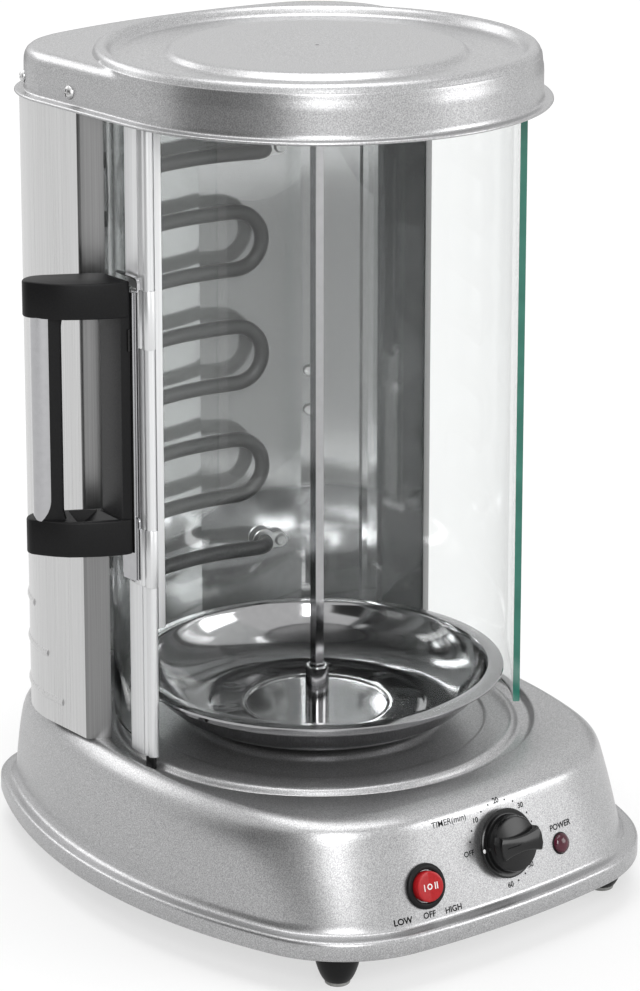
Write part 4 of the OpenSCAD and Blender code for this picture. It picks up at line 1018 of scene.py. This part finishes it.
def build_lamp():
    at = on_panel(*LAMP)
    dome = [(LENS_R * cos(radians(q)), 0.6 + LENS_H * sin(radians(q))) for q in range(10, 90, 10)]
    prof = [(0.0, -2.0), (LENS_R, -2.0), (LENS_R, 0.6)] + dome + [(0.0, 3.5)]
    v, f = moved(lathe(prof, 64), at)
    make("lamp_dome", v, f, M["lamp"], "grill", ("lamp_lens",), smooth=50)
    prof = [(LENS_R, -0.5), (5.5, -0.5), (5.5, 0.25), (5.3, 0.45), (LENS_R, 0.45)]
    v, f = moved(lathe(prof, 64), at)
    make("lamp_ring", v, f, M["black"], "grill", smooth=34)


build_knob()
build_switch()
build_lamp()


# Lettering on the panel: plain words and numbers only

PAINT = BVHTree.FromPolygons([p.co for p in BASE.data.vertices],
                             [p.vertices for p in BASE.data.polygons])
DIAL_STEP, DIAL_R = 45, 20.9
DIAL_OFF_R = 21.8
DOT_STEP, DOT_R = 15, 20.8
DOT_HALF = 0.5
DOT_N = 14


def letter(name, text, x, z, size, bold, dx=0.0, dy=0.0):
    """A word printed round a place on the panel, or beside it by dx and dy."""
    cu = bpy.data.curves.new(name, "FONT")
    cu.body = text
    cu.size = size
    cu.align_x = "CENTER"
    cu.align_y = "CENTER"
    cu.offset = bold
    cu.resolution_u = 4
    ob = bpy.data.objects.new(name, cu)
    bpy.context.scene.collection.objects.link(ob)
    bpy.context.view_layer.update()
    me = bpy.data.meshes.new_from_object(ob.evaluated_get(bpy.context.evaluated_depsgraph_get()))
    flat = [(p.co.x + dx, p.co.y + dy) for p in me.vertices]
    faces = [tuple(p.vertices) for p in me.polygons]
    bpy.data.objects.remove(ob)
    place_flat(name, flat, faces, x, z)


def place_flat(name, flat, faces, x, z, lift=0.06, above=3):
    """Lay a flat drawing on the curved panel, a hair above the paint."""
    verts = []
    for px, py in flat:
        wx = x + px
        wz = z + py * cos(PANEL_A)
        t = asin(wx / PANEL_R)
        n = Vector((sin(t) * cos(PANEL_A), -cos(t) * cos(PANEL_A), sin(PANEL_A)))
        start = Vector((wx, panel_y(wx, wz), wz)) + n * above
        hit, out, _, _ = PAINT.ray_cast(start * MM, -n)
        verts.append(tuple(hit / MM + out * lift))
    make(name, verts, faces, M["ink"], "grill", fix=False)


letter("word_low", "LOW", -63.8, 31.9, 4.2, 0.14)
letter("word_off", "OFF", -48.9, 31.8, 4.1, 0.11)
letter("word_high", "HIGH", -34.7, 31.5, 4.1, 0.1)
letter("word_timer", "TIMER(min)", -28.6, 71.1, 4.3, 0.02)
letter("word_power", "POWER", 40.4, 52.1, 4.2, 0.1)
for k, word in enumerate(("OFF", "10", "20", "30", "40", "50", "60")):
    a = radians(180 - DIAL_STEP * k)
    rr = DIAL_OFF_R if word == "OFF" else DIAL_R
    letter("dial_" + word.lower(), word, *KNOB, 3.7, 0.09, rr * cos(a), rr * sin(a))
for k in range(6):
    for j in (1, 2):
        a = radians(180 - DIAL_STEP * k - DOT_STEP * j)
        disc = arc((DOT_R * cos(a), DOT_R * sin(a)), DOT_HALF, 0, 2 * pi, DOT_N)
        place_flat("dial_dot_%d_%d" % (k, j), disc, [tuple(range(DOT_N))], *KNOB)


# Feet

FEET = ((-87, -123), (87, -123), (-87, 122), (87, 122))
for i, (x, y) in enumerate(FEET):
    prof = [(0.0, 2.2), (6.2, 2.2), (6.7, 2.1), (7.4, 3.0), (8.4, 4.8), (9.4, 7.2), (10.3, 10.0),
            (11.0, 13.0), (11.4, 16.0), (11.5, 19.0), (0.0, 19.0)]
    v, f = lathe(prof, 64, False, (x, y, 0))
    make("foot_%d" % (i + 1), v, f, M["black"], "grill", ("feet",) if i == 0 else (), smooth=40)
    prof = [(0.0, 0.0), (5.7, 0.0), (6.05, 0.3), (6.2, 0.8), (6.2, 3.0), (0.0, 3.0)]
    v, f = lathe(prof, 48, False, (x, y, 0))
    make("foot_pad_%d" % (i + 1), v, f, M["pad"], "grill", ("foot_pads",) if i == 0 else (), smooth=40)


# Stage and light

def seen(t):
    """1 for rays from the camera, from bright metal and through glass; 0 for the rest."""
    path = t.nodes.new("ShaderNodeLightPath")
    a = t.nodes.new("ShaderNodeMath")
    a.operation = "MAXIMUM"
    b = t.nodes.new("ShaderNodeMath")
    b.operation = "MAXIMUM"
    t.links.new(path.outputs["Is Camera Ray"], a.inputs[0])
    t.links.new(path.outputs["Is Transmission Ray"], a.inputs[1])
    t.links.new(a.outputs[0], b.inputs[0])
    t.links.new(path.outputs["Is Glossy Ray"], b.inputs[1])
    return b.outputs[0]


def stage_range(t, low, high):
    """One value for light that falls on the object, another for rays that show the stage."""
    mr = t.nodes.new("ShaderNodeMapRange")
    mr.inputs["To Min"].default_value = low
    mr.inputs["To Max"].default_value = high
    t.links.new(seen(t), mr.inputs["Value"])
    return mr.outputs["Result"]


def stage_mesh(name, pts, mat):
    me = bpy.data.meshes.new(name)
    me.from_pydata(pts, [], [(0, 1, 2, 3)])
    ob = bpy.data.objects.new(name, me)
    bpy.context.scene.collection.objects.link(ob)
    me.materials.append(mat)
    return ob


FLOOR_HALF = 6.0


def build_stage():
    s = FLOOR_HALF
    m = principled("floor_white", grey(0.36), 0.9)
    t = m.node_tree
    add = node(m, "ShaderNodeAddShader")
    glow = node(m, "ShaderNodeEmission")
    link(m, stage_range(t, 0.0, 1.0), glow.inputs["Strength"])
    # the floor's own tone, paler where the lamps don't reach
    near = node(m, "ShaderNodeTexGradient")
    near.gradient_type = "SPHERICAL"
    link(m, coords(m, (0.4, 0.4, 0.4)), near.inputs["Vector"])
    link(m, ramp(m, near.outputs["Fac"], [(0.0, grey(0.82)), (1.0, grey(0.55))]), glow.inputs["Color"])
    link(m, t.nodes["Principled BSDF"].outputs[0], add.inputs[0])
    link(m, glow.outputs[0], add.inputs[1])
    link(m, add.outputs[0], t.nodes["Material Output"].inputs["Surface"])
    stage_mesh("floor", [(-s, -s, 0), (s, -s, 0), (s, s, 0), (-s, s, 0)], m)
    w = bpy.data.worlds.new("studio")
    bpy.context.scene.world = w
    w.use_nodes = True
    t = w.node_tree
    bg = t.nodes["Background"]
    bg.inputs["Color"].default_value = (1, 1, 1, 1)
    t.links.new(stage_range(t, 0.4, 1.0), bg.inputs["Strength"])


def card(name, loc, aim, size, mat, through=False):
    """A card out of the picture, which bright metal mirrors: in the open, or only behind glass."""
    c, d = Vector(loc), (Vector(aim) - Vector(loc)).normalized()
    u = Vector((-d.y, d.x, 0)).normalized() * size[0] / 2
    w = d.cross(u).normalized() * size[1] / 2
    ob = stage_mesh(name, [tuple(c - u - w), tuple(c + u - w), tuple(c + u + w), tuple(c - u + w)], mat)
    ob.visible_camera = False
    ob.visible_diffuse = False
    ob.visible_glossy = not through
    ob.visible_transmission = through
    ob.visible_shadow = False


def area(name, loc, aim, size, power):
    li = bpy.data.lights.new(name, "AREA")
    li.shape = "RECTANGLE"
    li.size, li.size_y = size
    li.energy = power
    ob = bpy.data.objects.new(name, li)
    bpy.context.scene.collection.objects.link(ob)
    ob.location = loc
    ob.rotation_euler = (Vector(aim) - Vector(loc)).to_track_quat("-Z", "Y").to_euler()


build_stage()
dark_card = principled("card_dark", grey(0.03), 0.9)
mid_card = principled("card_mid", grey(0.0), 0.9, Emission_Color=(1, 1, 1, 1), Emission_Strength=0.38)
card("card_back", (1.3, 1.6, 0.3), (0, 0, 0.3), (3.2, 0.6), mid_card)
card("card_left", (-1.25, -0.2, 0.6), (0, -0.05, 0.5), (1.5, 1.2), dark_card)
card("card_front", (-0.05, -0.45, 0.1), (-0.05, 0, 0.1), (0.42, 0.2), mid_card, True)
area("key_camera", (-1.25, -1.72, 1.25), (0, 0, 0.15), (0.5, 1.3), 27)
area("fill_right", (1.5, -1.9, 0.9), (0, 0, 0.15), (1.2, 1.2), 20)
area("top_soft", (0.0, 0.1, 2.2), (0, 0, 0.2), (1.6, 1.6), 26)
area("back_soft", (-0.5, 1.85, 1.45), (0, 0, 0.2), (1.4, 0.8), 9)


# Looks of the part's own nodes

LOOKS = {
    "steel": ["base_plate", "base_screws", "motor_plate", "motor_screws", "gear_motor",
              "drive_coupling", "timer_nut", "timer_shaft", "housing_screws", "reflector_screws",
              "bracket_screws", "handle_screws", "lid_liner", "lid_screws", "heater_brackets",
              "handle_bracket"],
    "black": ["feet", "timer_body", "lamp_body", "cord_gland", "handle_frame", "grip_backing",
              "profile_foot", "door_carrier"],
    "gloss": ["timer_knob", "switch_body"],
    "pad": ["foot_pads"],
    "bronze": ["drive_bush"],
    "pan": ["drip_pan", "spit_socket", "spit"],
    "chrome": ["grip_bar"],
    "pale": ["upper_bearing", "terminal_block", "thermal_cutout", "heater_terminals", "carrier_glides"],
    "white": ["knob_mark"],
    "red": ["rocker_cap"],
    "lamp": ["lamp_lens"],
    "mirror": ["reflector"],
    "heater": ["heater", "heater_bends"],
    "glass": ["glass_pane"],
    "alu": ["door_profile", "profile_clips"],
    "paint": ["base_shell", "lid"],
    "wall": ["rear_housing"],
}
for look_name, names in LOOKS.items():
    for nm in names:
        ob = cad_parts[nm]
        ob.data.materials.clear()
        ob.data.materials.append(M[look_name])
